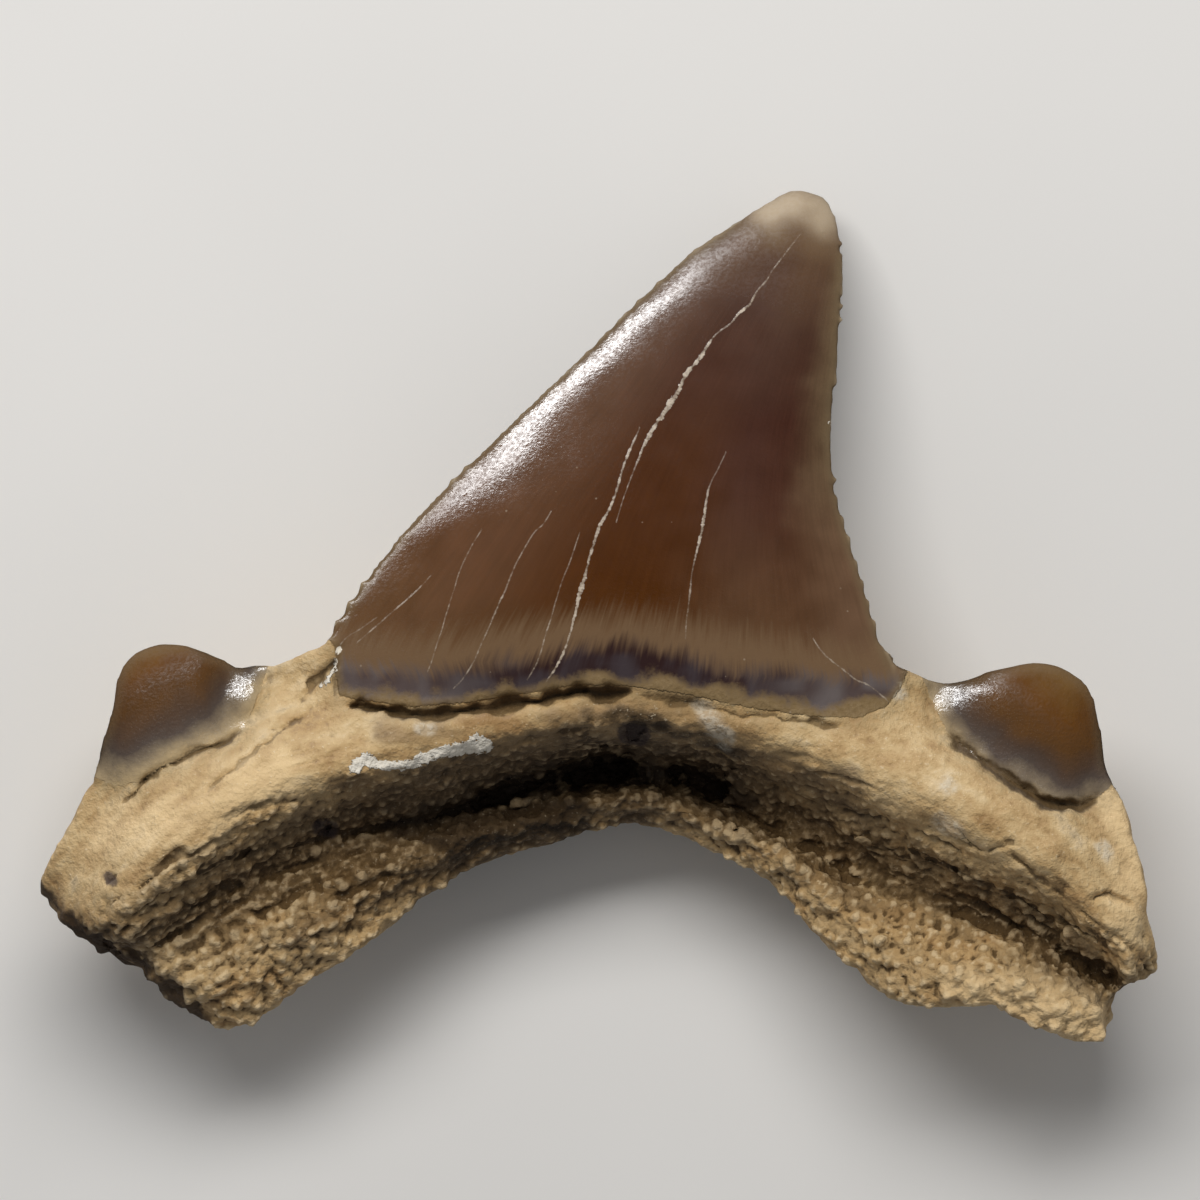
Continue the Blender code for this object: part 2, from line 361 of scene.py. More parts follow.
# %% [markdown]
# ## Distances to lines
#
# Nearly everything that follows sits along a line on the grid: the enamel's edge, the cracks, the strokes of
# the brushes. One helper tells how far each place is from such a line, on which side, and how far along.

# %% Distances to lines on the grid
FAR = 9.0


def to_line(flat, line):
    """Distance in mm from each place to a line, the same signed (+ on its left), and how far along it is."""
    line = at(line)
    best = np.full(len(flat), np.inf)
    side, share = np.zeros(len(flat)), np.zeros(len(flat))
    run = run_along(line)
    for i in range(len(line) - 1):
        start, along = line[i], line[i + 1] - line[i]
        t = np.clip(((flat - start) @ along) / (along @ along), 0, 1)
        gap = flat - start - t[:, None] * along
        size = np.hypot(gap[:, 0], gap[:, 1])
        closer = size < best
        best[closer] = size[closer]
        side[closer] = np.sign(along[0] * gap[:, 1] - along[1] * gap[:, 0])[closer]
        share[closer] = ((run[i] + t * (run[i + 1] - run[i])) / run[-1])[closer]
    return best, best * np.where(side == 0, 1, side), share


def near_lines(flat, lines):
    """Distance in mm from each place to the nearest of some lines."""
    return np.min([to_line(flat, line)[0] for line in lines], axis=0)


def below_line(flat, line):
    """How far each place lies below a line that runs from left to right, in mm."""
    return -to_line(flat, line)[1]


def shares_along(line):
    """The share of a line's length at each of its points."""
    run = run_along(at(line))
    return run / run[-1]


print("shares along the first section:", shares_along(ROOT_SECTIONS[0]).round(2))

# %% [markdown]
# ## Where the enamel ends
#
# Enamel covers the crown and the two cusps. On the outer face its lower edge is the dark crack where the
# enamel ends and the root begins. On the back it lies higher, where the root's boss swells out. All six
# lines run from left to right, so enamel is always on their left-hand side.

# %% Lower edges of the enamel
CROWN_BASE = [
    (320, 622), (336, 650), (336, 672), (340, 696), (362, 700), (412, 707), (460, 703), (511, 696),
    (569, 686), (620, 685), (680, 693), (753, 708), (810, 716), (858, 717), (886, 706), (900, 688),
    (908, 668), (916, 650),
]
LEFT_CUSP_BASE = [
    (88, 774), (120, 786), (140, 781), (163, 768), (196, 751), (229, 740), (246, 727), (256, 705), (263, 684),
    (272, 655),
]
RIGHT_CUSP_BASE = [
    (916, 665), (926, 688), (936, 712), (947, 734), (970, 753), (994, 771), (1025, 789), (1051, 802),
    (1077, 806), (1100, 795), (1116, 778),
]
CROWN_BACK_BASE = [
    (312, 632), (360, 618), (430, 592), (520, 574), (620, 566), (710, 572), (780, 586), (850, 622),
    (915, 665),
]
LEFT_CUSP_BACK_BASE = [(88, 772), (118, 735), (150, 702), (190, 680), (238, 662), (268, 650)]
RIGHT_CUSP_BACK_BASE = [
    (925, 668), (960, 680), (992, 686), (1028, 694), (1062, 710), (1090, 736), (1115, 770),
]


def into_enamel(flat, *bases):
    """How far each place lies inside the enamel, in mm, and below zero on the root."""
    return np.max([to_line(flat, base)[1] for base in bases], axis=0)


def enamel_depth(flat, facing_up):
    """The same for both faces of the tooth, with a soft change from one to the other round the edge."""
    front = into_enamel(flat, CROWN_BASE, LEFT_CUSP_BASE, RIGHT_CUSP_BASE)
    back = into_enamel(flat, CROWN_BACK_BASE, LEFT_CUSP_BACK_BASE, RIGHT_CUSP_BACK_BASE)
    turn = ease(facing_up, -0.35, 0.1)
    return back + (front - back) * turn


print("enamel above the middle of its edge:", into_enamel(at([(620, 400)]), CROWN_BASE).round(1), "mm")

# %% [markdown]
# ## Cracks in the enamel
#
# Fine cracks run through the enamel from the crown's base towards its tip. Pale mineral has filled them.
# Some are hair thin; the longest one is up to a quarter of a millimetre wide and splits into strands. They
# are drawn as lines with a width that comes and goes, since a real crack is never even.

# %% Lines of the cracks
# Each crack: places on the grid, with its width there in grid steps
ENAMEL_CRACKS = [
    [
        (801, 233, 0.8), (784, 255, 1.0), (772, 271, 1.2), (767, 280, 2.0), (757, 291, 2.5), (750, 304, 4.5),
        (739, 313, 3.5), (731, 323, 2.5), (716, 334, 2.0), (706, 348, 4.5), (701, 356, 8.0), (696, 363, 4.5),
        (686, 374, 8.0), (681, 386, 6.5), (673, 400, 11.0), (664, 414, 8.5), (656, 424, 5.5), (649, 436, 6.0),
        (643, 448, 4.0), (637, 463, 2.5), (629, 483, 1.0), (622, 503, 0.8), (616, 523, 0.6),
    ],
    [
        (640, 427, 1.0), (634, 441, 3.0), (627, 457, 3.5), (621, 475, 3.0), (616, 493, 4.5), (611, 506, 3.5),
        (604, 519, 5.0), (599, 527, 5.5), (594, 543, 5.0), (590, 556, 4.0), (586, 573, 5.0), (581, 588, 8.5),
        (578, 602, 4.5), (574, 619, 4.0), (570, 634, 3.0), (566, 647, 3.0), (560, 660, 3.5), (553, 672, 3.0),
        (546, 682, 2.0),
    ],
    [
        (726, 452, 0.8), (717, 471, 1.0), (712, 480, 1.5), (707, 495, 3.0), (704, 518, 5.0), (701, 533, 5.5),
        (697, 549, 3.5), (692, 571, 2.5), (690, 589, 2.5), (688, 606, 2.2), (686, 622, 2.0), (685, 639, 1.5),
    ],
    [
        (551, 512, 0.8), (543, 525, 1.2), (534, 533, 1.4), (520, 557, 1.8), (513, 571, 2.0), (505, 592, 2.2),
        (500, 602, 3.2), (493, 619, 2.2), (485, 637, 2.2), (480, 648, 2.0), (474, 662, 2.0), (463, 679, 1.8),
        (454, 688, 1.4),
    ],
    [
        (580, 532, 0.6), (570, 562, 1.0), (563, 579, 1.2), (556, 601, 1.6), (551, 619, 1.8), (546, 634, 2.2),
        (541, 652, 2.0), (535, 667, 1.8), (527, 680, 1.2),
    ],
    [(431, 576, 0.8), (419, 589, 1.3), (406, 601, 1.6), (393, 612, 1.8), (370, 632, 1.6), (357, 643, 1.0)],
    [(378, 617, 0.6), (361, 629, 1.2), (348, 637, 1.6), (340, 646, 1.8)],
    [
        (482, 530, 0.6), (472, 546, 0.9), (461, 569, 1.4), (455, 588, 1.0), (450, 604, 1.6), (446, 617, 1.2),
        (442, 631, 1.8), (436, 649, 1.4), (432, 662, 1.8), (428, 672, 1.2),
    ],
    [
        (812, 638, 1.2), (820, 650, 1.8), (830, 660, 2.4), (842, 669, 2.2), (854, 679, 2.2), (866, 684, 2.4),
        (877, 692, 2.2), (890, 704, 2.0), (897, 716, 2.0),
    ],
]
print("cracks:", len(ENAMEL_CRACKS))

# %% [markdown]
# ## Finer where the eye goes
#
# A point every seventh of a millimetre is plenty for the smooth enamel and for the back. The grain of the
# root, the cracks and the fine cutting edges need twice as many. We split only those faces, so the whole
# tooth stays under 200,000 triangles.

# %% Split the faces that need it
CUTTING_EDGES = [[pair[i] for pair in CROWN_EDGES] for i in (0, 1)]
SPLIT_INTO_ENAMEL, SPLIT_AT_EDGE, SPLIT_AT_CRACK = 0.15, 0.12, 0.14


def vectors(items, *names):
    """Rows of three numbers for each point or face of a mesh."""
    rows = []
    for name in names:
        flat_row = np.empty(len(items) * 3)
        items.foreach_get(name, flat_row)
        rows.append(flat_row.reshape(-1, 3))
    return rows


def split_faces(mesh, wanted):
    """Splits each wanted face in four."""
    work = bmesh.new()
    work.from_mesh(mesh)
    edges = {edge for face, want in zip(work.faces, wanted) if want for edge in face.edges}
    bmesh.ops.subdivide_edges(work, edges=list(edges), cuts=1, use_grid_fill=True)
    bmesh.ops.triangulate(work, faces=[face for face in work.faces if len(face.verts) > 4])
    work.to_mesh(mesh)
    work.free()


middles, facing = vectors(skin.polygons, "center", "normal")
on_root = enamel_depth(middles[:, :2], facing[:, 2]) < SPLIT_INTO_ENAMEL
at_edge = near_lines(middles[:, :2], CUTTING_EDGES) < SPLIT_AT_EDGE
crack_lines = [np.array(crack)[:, :2] for crack in ENAMEL_CRACKS]
at_crack = near_lines(middles[:, :2], crack_lines) < SPLIT_AT_CRACK
at_front = facing[:, 2] > 0
split_faces(skin, (on_root & at_front) | at_edge | (at_front & at_crack))
triangles = sum(len(face.vertices) - 2 for face in skin.polygons)
print("finer skin:", len(skin.vertices), "points,", triangles, "triangles")

# %% [markdown]
# ## Smooth, then sculpt
#
# The voxels leave faint steps. Averaging each point with its neighbours takes them out, but also shrinks
# the form. So each round of it is followed by one that pushes the points nearly as far back out.

# %% Smooth the skin
SMOOTH_ROUNDS, DRAW_IN, PUSH_OUT = 6, 0.6, -0.55
points, normals = vectors(skin.vertices, "co", "normal")
ends = np.empty(len(skin.edges) * 2, dtype=np.int64)
skin.edges.foreach_get("vertices", ends)
ends = ends.reshape(-1, 2)
neighbours = np.bincount(ends.ravel(), minlength=len(points))


def averaged(values, rounds, share=0.5):
    """Values moved towards the mean of their neighbours, some rounds over."""
    values = np.array(values, dtype=float)
    columns = values.reshape(len(values), -1)
    for _ in range(rounds):
        total = np.stack(
            [
                np.bincount(ends[:, 0], column[ends[:, 1]], len(column))
                + np.bincount(ends[:, 1], column[ends[:, 0]], len(column))
                for column in columns.T
            ],
            axis=-1,
        )
        columns = columns + share * (total / neighbours[:, None] - columns)
    return columns.reshape(values.shape)


def point_normals():
    """The skin's normals after the points have moved."""
    skin.vertices.foreach_set("co", points.ravel())
    skin.update()
    return vectors(skin.vertices, "normal")[0]


rough_points = points
for _ in range(SMOOTH_ROUNDS):
    points = averaged(points, 1, DRAW_IN)
    points = averaged(points, 1, PUSH_OUT)
normals = point_normals()
print("smoothing moved points by up to", np.abs(points - rough_points).max().round(3), "mm")

# %% [markdown]
# ### Noise
#
# Stone that lay in the ground is uneven in many sizes at once. Blender's Displace modifier could press a
# texture into the mesh. Here the noise is worked out point by point instead, as the finish reads the same
# numbers later. `clouds` makes soft lumps, `beads` makes heaps of round grains, and `lengthwise` bends a
# place along the root's arch so that ledges can follow it.

# %% Noise
SCATTER = (73856093, 19349663, 83492791, 2654435761)
STIR = ((13, 1274126177), (16, 2246822519))
LAST_SHIFT = 15
WORD = 0xFFFFFFFF
CLOUD_GAIN = 2.6
BEAD_NUMBER_SEED = 7
ARCH_TOP, ARCH_DROP, ARCH_REACH, ARCH_BEND = -1.8, -0.9, 6.4, 2.6


def random_at(cells, seed):
    """A number from 0 to 1 for each cell of a grid, always the same for a cell and a seed."""
    x, y, z = (cells[..., i] * SCATTER[i] for i in range(3))
    mixed = x ^ y ^ z ^ (seed * SCATTER[3])
    for shift, factor in STIR:
        mixed = (mixed ^ (mixed >> shift)) * factor & WORD
    return (mixed ^ (mixed >> LAST_SHIFT)) / (WORD + 1.0)


def clouds(places, size, seed):
    """Smooth noise from about -1 to 1 with lumps of a size."""
    scaled = places / size
    cell = np.floor(scaled).astype(np.int64)
    t = gentle(scaled - cell)
    total = np.zeros(len(places))
    for corner in np.ndindex(2, 2, 2):
        weight = np.prod([t[:, i] if corner[i] else 1 - t[:, i] for i in range(3)], axis=0)
        total += weight * random_at(cell + corner, seed)
    return (total - 0.5) * CLOUD_GAIN


def layered(*layers):
    """The sum of several clouds: each a strength, places, a size and a seed."""
    return sum(strength * clouds(places, size, seed) for strength, places, size, seed in layers)


def beads(places, size, seed):
    """Distance to the nearest bead of a random heap, in bead sizes, and a number for that bead."""
    scaled = places / size
    cell = np.floor(scaled).astype(np.int64)
    nearest, number = np.full(len(places), FAR), np.zeros(len(places))
    for offset in np.ndindex(3, 3, 3):
        other = cell + np.array(offset) - 1
        centre = other + np.stack([random_at(other, seed + i) for i in range(3)], axis=-1)
        gap = np.linalg.norm(centre - scaled, axis=1)
        closer = gap < nearest
        nearest[closer] = gap[closer]
        number[closer] = random_at(other, seed + BEAD_NUMBER_SEED)[closer]
    return nearest, number


def lengthwise(places):
    """Each place as millimetres along the arch of the root, across it, and up."""
    bend = ARCH_TOP + ARCH_DROP * (np.abs(places[:, 0]) / ARCH_REACH) ** ARCH_BEND
    return np.stack([places[:, 0], places[:, 1] - bend, places[:, 2]], axis=-1)


print("clouds at three places:", clouds(points[:3], 0.5, 1).round(2))

# %% [markdown]
# ### Cracks, hollows and ledges
#
# A dark crack undercuts the enamel. The trough of the root is deepest below the middle of the crown, where
# two hollows flank a thin bridge. Shallow slits follow the lobes, and a groove splits the right lobe's end.
# We sculpt them as one would with brushes: each stroke is a line on the grid with a width and a depth.

# %% Strokes
# Each stroke: line on the grid, half width in mm, depth in mm (above zero builds up)
STROKES = [
    ([(343, 704), (360, 705), (380, 711), (412, 715), (440, 713), (470, 709), (492, 707)], 0.105, -0.42),
    ([(480, 709), (520, 703), (545, 699), (566, 694), (590, 692), (615, 693), (634, 692)], 0.115, -0.50),
    ([(566, 690), (578, 687), (590, 690)], 0.12, -0.25),
    (
        [(632, 692), (660, 698), (696, 704), (730, 712), (768, 717), (800, 721), (822, 723), (850, 724)],
        0.08, -0.14,
    ),
    ([(342, 642), (338, 655), (335, 668), (334, 682), (338, 698)], 0.07, -0.12),
    ([(336, 660), (328, 669), (318, 678), (306, 688)], 0.09, -0.20),
    ([(262, 716), (284, 698), (310, 684)], 0.40, 0.10),
    (
        [(136, 786), (150, 777), (163, 769), (180, 760), (196, 752), (214, 746), (229, 741), (244, 728)],
        0.075, -0.20,
    ),
    ([(150, 778), (138, 790), (126, 804)], 0.06, -0.15),
    (
        [
            (942, 728), (955, 741), (970, 753), (994, 771), (1010, 781), (1025, 790), (1051, 803),
            (1077, 806), (1104, 792),
        ],
        0.12, -0.28,
    ),
    ([(1000, 778), (1025, 792), (1051, 804), (1080, 806)], 0.10, -0.14),
    ([(345, 780), (360, 777), (378, 782)], 0.26, 0.12),
    ([(560, 781), (580, 771), (600, 765), (620, 769), (634, 776)], 0.34, -0.85),
    ([(590, 762), (612, 756), (628, 762)], 0.20, -0.40),
    ([(664, 771), (684, 771), (700, 777), (716, 786), (732, 794)], 0.26, -0.75),
    ([(470, 800), (500, 792), (535, 784), (562, 776)], 0.22, -0.60),
    ([(420, 824), (450, 812), (480, 806), (512, 800)], 0.13, -0.25),
    ([(500, 816), (530, 808), (552, 803)], 0.12, -0.22),
    ([(624, 734), (634, 733), (642, 736)], 0.15, -0.30),
    ([(560, 728), (585, 735), (612, 741)], 0.13, -0.16),
    ([(645, 764), (648, 776), (655, 790)], 0.10, 0.28),
    ([(560, 800), (600, 792), (640, 790), (668, 796)], 0.14, 0.22),
    ([(322, 826), (329, 829)], 0.13, -0.28),
    ([(732, 828), (739, 829)], 0.12, -0.28),
    ([(958, 829), (966, 838), (975, 845), (985, 852)], 0.07, -0.16),
    ([(985, 852), (993, 846), (1002, 842), (1013, 842)], 0.06, -0.10),
    ([(1008, 852), (1025, 863), (1037, 874), (1052, 885), (1066, 892)], 0.08, -0.16),
    ([(1086, 899), (1096, 895), (1105, 893), (1115, 897), (1130, 905)], 0.08, -0.18),
    ([(940, 893), (980, 910), (1010, 924), (1040, 938), (1062, 950)], 0.22, -0.22),
    ([(1050, 946), (1076, 960), (1094, 970), (1110, 980), (1125, 988)], 0.15, -0.34),
    ([(700, 792), (730, 808), (760, 822), (790, 838)], 0.16, -0.22),
    ([(800, 846), (830, 866), (862, 878)], 0.18, -0.25),
    ([(255, 878), (290, 866), (318, 858)], 0.14, -0.20),
    ([(182, 908), (215, 893), (245, 884)], 0.13, -0.18),
    ([(340, 838), (375, 826), (412, 815)], 0.15, -0.22),
    ([(150, 944), (168, 938), (186, 932)], 0.13, -0.14),
    ([(104, 946), (132, 952), (150, 960)], 0.15, -0.22),
    ([(250, 915), (285, 900), (325, 884)], 0.12, -0.14),
    ([(330, 902), (365, 885), (395, 872)], 0.10, -0.12),
    ([(108, 880), (116, 874)], 0.08, -0.08),
    ([(206, 792), (226, 776), (246, 760), (268, 744), (290, 726), (312, 710)], 0.06, -0.11),
    ([(150, 872), (182, 856), (206, 850)], 0.09, -0.10),
    ([(250, 812), (280, 800), (300, 798)], 0.08, -0.08),
    ([(196, 872), (226, 858), (256, 850)], 0.10, -0.16),
    ([(290, 846), (320, 838), (350, 826)], 0.09, -0.14),
    ([(906, 846), (936, 862), (962, 874)], 0.09, -0.14),
    ([(950, 864), (985, 880), (1016, 896)], 0.09, -0.15),
    ([(1000, 884), (1034, 904), (1060, 920)], 0.10, -0.17),
    ([(1058, 912), (1086, 930), (1108, 946)], 0.10, -0.16),
    ([(846, 826), (880, 842), (910, 860)], 0.10, -0.15),
    ([(270, 735), (285, 724)], 0.05, -0.07),
    ([(300, 700), (314, 688), (326, 676)], 0.06, -0.10),
]
print("strokes:", len(STROKES))

# %% [markdown]
# A stroke moves only points that face the eye, and it fades out at both ends. Clouds make its line ragged
# and its width uneven, so that it looks broken and not cut.

# %% Press the strokes
RAGGED = 0.05
ragged = RAGGED * np.stack([clouds(points, 0.30, 4), clouds(points, 0.22, 5)], axis=-1)
wobble = 1 + 0.35 * clouds(points, 0.35, 3) + 0.25 * clouds(points, 0.15, 6)


def stroke(line, half_width, depth):
    """How far a brush stroke moves each point up, in mm."""
    away, _, share = to_line(points[:, :2] + ragged, line)
    near = np.exp(-((away / (half_width * wobble)) ** 2))
    fade = ease(share, -0.02, 0.12) * (1 - ease(share, 0.88, 1.02))
    return depth * near * fade * ease(normals[:, 2], 0.0, 0.4)


pressed = np.sum([stroke(line, half_width, depth) for line, half_width, depth in STROKES], axis=0)
points[:, 2] += pressed
print("strokes move points by", pressed.min().round(2), "to", pressed.max().round(2), "mm")

# %% [markdown]
# ### A step, two saddles and the tip
#
# Some places need a brush of their own. The right lobe's broken end has a step in its outline, so points
# round it are dragged inwards. Where each cusp dips towards the crown, its face is flat enough to mirror a
# lamp, so points there are pressed onto a tilted plane. Smoothing has also drawn in the tip a little.

# %% Drag, flatten and pull
STEP_AT, STEP_SHIFT, STEP_SIZE = (1140, 1006), (-0.42, 0.24), 0.42
# Each saddle: place, reach in mm, rise per mm to the right and upwards, height in mm
SADDLES = [((240, 688), 0.56, (0.30, -0.80), 4.48), ((948, 699), 0.45, (0.30, -0.78), 4.47)]
TIP_AT, TIP_PULL, TIP_REACH = (806, 190), 0.05, 0.8


def away_from(place):
    """Each point's distance from a place on the grid, in mm."""
    return np.linalg.norm(points[:, :2] - at(place), axis=1)


points[:, :2] += np.exp(-((away_from(STEP_AT) / STEP_SIZE) ** 2))[:, None] * np.array(STEP_SHIFT)
for place, reach, slope, height in SADDLES:
    share = np.exp(-((away_from(place) / reach) ** 4)) * ease(normals[:, 2], 0.05, 0.4)
    plane = height + (points[:, :2] - at(place)) @ np.array(slope)
    points[:, 2] += share * (plane - points[:, 2])
    print("saddle at", place, "takes", int((share > 0.5).sum()), "points")
points[:, 1] += TIP_PULL * np.exp(-((away_from(TIP_AT) / TIP_REACH) ** 2))

# %% [markdown]
# Wear and polish have left the enamel smoother than the root, so we average it a little more.

# %% Smooth the enamel
worn_smooth = ease(enamel_depth(points[:, :2], normals[:, 2]), 0.10, 0.35)[:, None]
points += (averaged(points, 5) - points) * worn_smooth
normals = point_normals()
print("points on enamel:", int((worn_smooth > 0.5).sum()))

# %% [markdown]
# ### Grain of the root
#
# The root was full of vessels, so its surface is like coarse sandstone. First we work out where the grain
# lies: below the smooth ridge, most on the lip, and roughest on the broken end of the left lobe.

# %% Where the grain lies
RIDGE_FOOT = [
    (30, 925), (80, 930), (130, 888), (180, 846), (240, 812), (310, 786), (380, 770), (440, 752),
    (500, 742), (560, 727), (620, 720), (690, 728), (760, 748), (840, 778), (900, 814), (960, 846),
    (1030, 884), (1090, 918), (1170, 960),
]
LIP_FOOT = [
    (30, 960), (130, 960), (200, 926), (290, 888), (400, 850), (520, 816), (620, 800), (700, 806),
    (780, 838), (900, 888), (1010, 944), (1140, 1010),
]
LEFT_BREAK = [(38, 893), (60, 917), (96, 950), (140, 970), (180, 1008), (205, 1026)]
flat = points[:, :2]
root_here = 1 - ease(enamel_depth(flat, normals[:, 2]), -0.12, 0.0)
below_foot = below_line(flat, RIDGE_FOOT)
below_ridge = ease(below_foot, -0.5, 0.5)
at_break = (1 - ease(to_line(flat, LEFT_BREAK)[0], 0.10, 0.50)) * root_here
to_side = np.abs(points[:, 0])
on_lip = ease(below_line(flat, LIP_FOOT), -0.2, 0.4) * (0.4 + 0.6 * ease(to_side, 2.0, 5.0))
rough = root_here * (0.16 + 0.84 * below_ridge) * (0.5 + 0.5 * ease(normals[:, 2], 0.05, 0.55))
slit_zone = ease(below_foot, -0.9, 0.0) * (1 - on_lip) * ease(to_side, 2.5, 5.0)
print("points on the root:", int((root_here > 0.5).sum()), "of", len(points))

# %% [markdown]
# Then the grain itself: broad lumps, wavy ledges and thin slits that follow the arch, and beads of three
# sizes in the trough and along the lip. The beads' distances are cut off, so the gaps between them
# stay shallow. Enamel only gets a faint swell.

# %% Grain
SMALL_BEAD, BEAD, BIG_BEAD = 0.13, 0.24, 0.38
GAP, BIG_GAP = 0.82, 0.74
SLIT_DEPTH = 0.11
long_places = lengthwise(points)
lumps = layered((0.05, points, 0.9, 11), (0.035, points, 0.42, 12))
ledges = layered(
    (0.07, long_places / (1.5, 0.28, 0.5), 1.0, 13), (0.04, long_places / (0.8, 0.15, 0.3), 1.0, 14)
)
slit_cloud = clouds(long_places / (0.65, 0.13, 0.4), 1.0, 81)
slits = -SLIT_DEPTH * ease(slit_cloud, 0.30, 0.95) * root_here * slit_zone * ease(normals[:, 2], 0.3, 0.6)
heap, bead_number = beads(points, BEAD, 21)
small_heap, _ = beads(points, SMALL_BEAD, 31)
big_heap, big_number = beads(points, BIG_BEAD, 71)
heap, big_heap = np.minimum(heap, GAP), np.minimum(big_heap, BIG_GAP)
grain = 0.15 * (0.55 - heap) * (0.5 + bead_number) + 0.04 * (0.5 - small_heap)
grain += (0.13 + 0.17 * on_lip) * (0.55 - big_heap) * (0.3 + big_number)
move = root_here * lumps + rough * (0.9 * ledges * below_ridge + grain) + slits
move += at_break * layered((0.06, points, 0.30, 15), (0.04, points, 0.16, 16))
move += (1 - root_here) * 0.012 * clouds(points, 1.1, 17)
points += normals * move[:, None]
print("grain moves points by", round(float(move.min()), 3), "to", round(float(move.max()), 3), "mm")

# %% [markdown]
# ### Edges and rest spot
#
# The cutting edges are chipped all along, so their points are nibbled inwards. The boss is worn flat where
# the tooth rests. Both the flat spot and the outermost grains end where the solid model's box ends.

# %% Chip the edges, flatten the rest spot
NIBBLE = 0.009
CROWN_MIDDLE = (650, 560)
CAD_LOW, CAD_HIGH = np.array([-12.0, -9.15, 0.0]), np.array([12.0, 9.15, 5.89])
flat = points[:, :2]
crown_rim = near_lines(flat, CUTTING_EDGES)
to_middle = flat - at(CROWN_MIDDLE)
to_middle /= np.linalg.norm(to_middle, axis=1)[:, None]
nibble = np.clip(layered((1.0, points, 0.22, 51), (0.6, points, 0.11, 52)), -0.2, 1.2)
edge_here = (1 - ease(crown_rim, 0.04, 0.22)) * (1 - root_here)
points[:, :2] -= to_middle * (NIBBLE * nibble * edge_here)[:, None]
points = np.clip(points, CAD_LOW, CAD_HIGH)
normals = point_normals()
print("points on the rest spot:", int((points[:, 2] == 0).sum()))

# %% [markdown]
# ## Measures for the finish
#
# The finish follows the form. It could be unwrapped and painted, but the grain would blur and the seams would
# show. Instead each point of the skin carries a few numbers: how deep it lies in the enamel, how near it is
# to a cutting edge or a crack, how hollow the surface is there. `paint` stores such a number on the mesh.

# %% Painting numbers on the skin
FINE_ROUNDS, WIDE_ROUNDS, HOLLOW_SHARE = 3, 25, 0.7


def paint(name, values):
    """Stores one number for each point of the skin."""
    layer = skin.attributes.new(name, "FLOAT", "POINT")
    layer.data.foreach_set("value", np.ascontiguousarray(values, dtype=np.float32))


def hollowness(rounds):
    """How far each point lies below the mean of the surface round it."""
    return -np.sum((points - averaged(points, rounds, HOLLOW_SHARE)) * normals, axis=1)


fine_hollows = hollowness(FINE_ROUNDS)
paint("hollow_fine", fine_hollows)
paint("hollow_wide", hollowness(WIDE_ROUNDS))
paint("pressed", pressed)
paint("nick", nibble * edge_here)
paint("below_ridge", ease(below_line(points[:, :2], RIDGE_FOOT), -0.5, 0.5))
paint("break_here", at_break)
print("fine hollows:", np.percentile(fine_hollows, [5, 50, 95]).round(3), "mm")

# %% [markdown]
# The enamel's colours run from its lower edge to the tip and from one cutting edge to the other. So we
# measure both as shares from 0 to 1, and the cusps get the distance to their own rims.

# %% Places on the enamel
WORN_TIP = [(774, 205), (788, 200), (804, 200), (818, 204), (828, 214)]
LEFT_CUSP_END, RIGHT_CUSP_START = 285, 922
TINY = 1e-6


def rim_line(edges):
    """A line up a blade's left edge and down its right one, without its base."""
    line = [pair[0] for pair in edges] + [pair[1] for pair in edges[::-1]]
    return line[1:-1]


def left_of(step):
    """Which points lie left of a column of the grid."""
    return flat[:, 0] < at((step, 0))[0]


def right_of(step):
    """Which points lie right of a column of the grid."""
    return flat[:, 0] > at((step, 0))[0]


flat = points[:, :2]
enamel = enamel_depth(flat, normals[:, 2])
left_away, right_away = [to_line(flat, edge)[0] for edge in CUTTING_EDGES]
base_away = np.maximum(into_enamel(flat, CROWN_BASE), 0)
tip_away = away_from(TIP_AT)
on_cusp = left_of(LEFT_CUSP_END) | right_of(RIGHT_CUSP_START)
cusp_rim = near_lines(flat, [rim_line(LEFT_CUSP_EDGES), rim_line(RIGHT_CUSP_EDGES)])
paint("enamel", enamel)
paint("rise", base_away / (base_away + tip_away))
paint("side", left_away / (left_away + right_away + TINY))
paint("rim", np.where(on_cusp, cusp_rim, crown_rim))
paint("cusp", on_cusp.astype(float))
paint("to_tip", to_line(flat, WORN_TIP)[0])
print("deepest enamel:", enamel.max().round(1), "mm from its lower edge")

# %% [markdown]
# Bands of colour follow the enamel's lower edge, but not each of its wiggles. They get smoother lines of
# their own, one for the crown and one for each cusp.

# %% Lines of the bands
CROWN_BAND = [
    (180, 655), (260, 682), (330, 700), (360, 706), (412, 712), (460, 707), (511, 700), (569, 690),
    (620, 688), (680, 695), (753, 709), (810, 717), (858, 719), (920, 712), (1000, 690),
]
LEFT_BAND = [
    (30, 800), (88, 786), (120, 786), (140, 781), (163, 768), (196, 751), (229, 740), (250, 722), (275, 690),
    (300, 650),
]
RIGHT_BAND = [
    (890, 640), (926, 682), (936, 708), (947, 732), (970, 753), (994, 771), (1025, 789), (1051, 802),
    (1077, 806), (1100, 798), (1150, 770),
]
RIGHT_BAND_START = 915
LEFT_CUSP_SHIFT, RIGHT_CUSP_SHIFT = -0.08, 0.14
FACING_DOWN = -0.1
at_left, at_right = left_of(LEFT_CUSP_END), right_of(RIGHT_BAND_START)
crown_band, left_band, right_band = [to_line(flat, band)[1] for band in (CROWN_BAND, LEFT_BAND, RIGHT_BAND)]
in_bands = np.select([at_left, at_right], [left_band, right_band], crown_band)
in_bands = in_bands + LEFT_CUSP_SHIFT * at_left + RIGHT_CUSP_SHIFT * at_right
paint("bands", np.where(normals[:, 2] > FACING_DOWN, in_bands, enamel))
print("points above the bands' lines:", int((in_bands > 0).sum()))

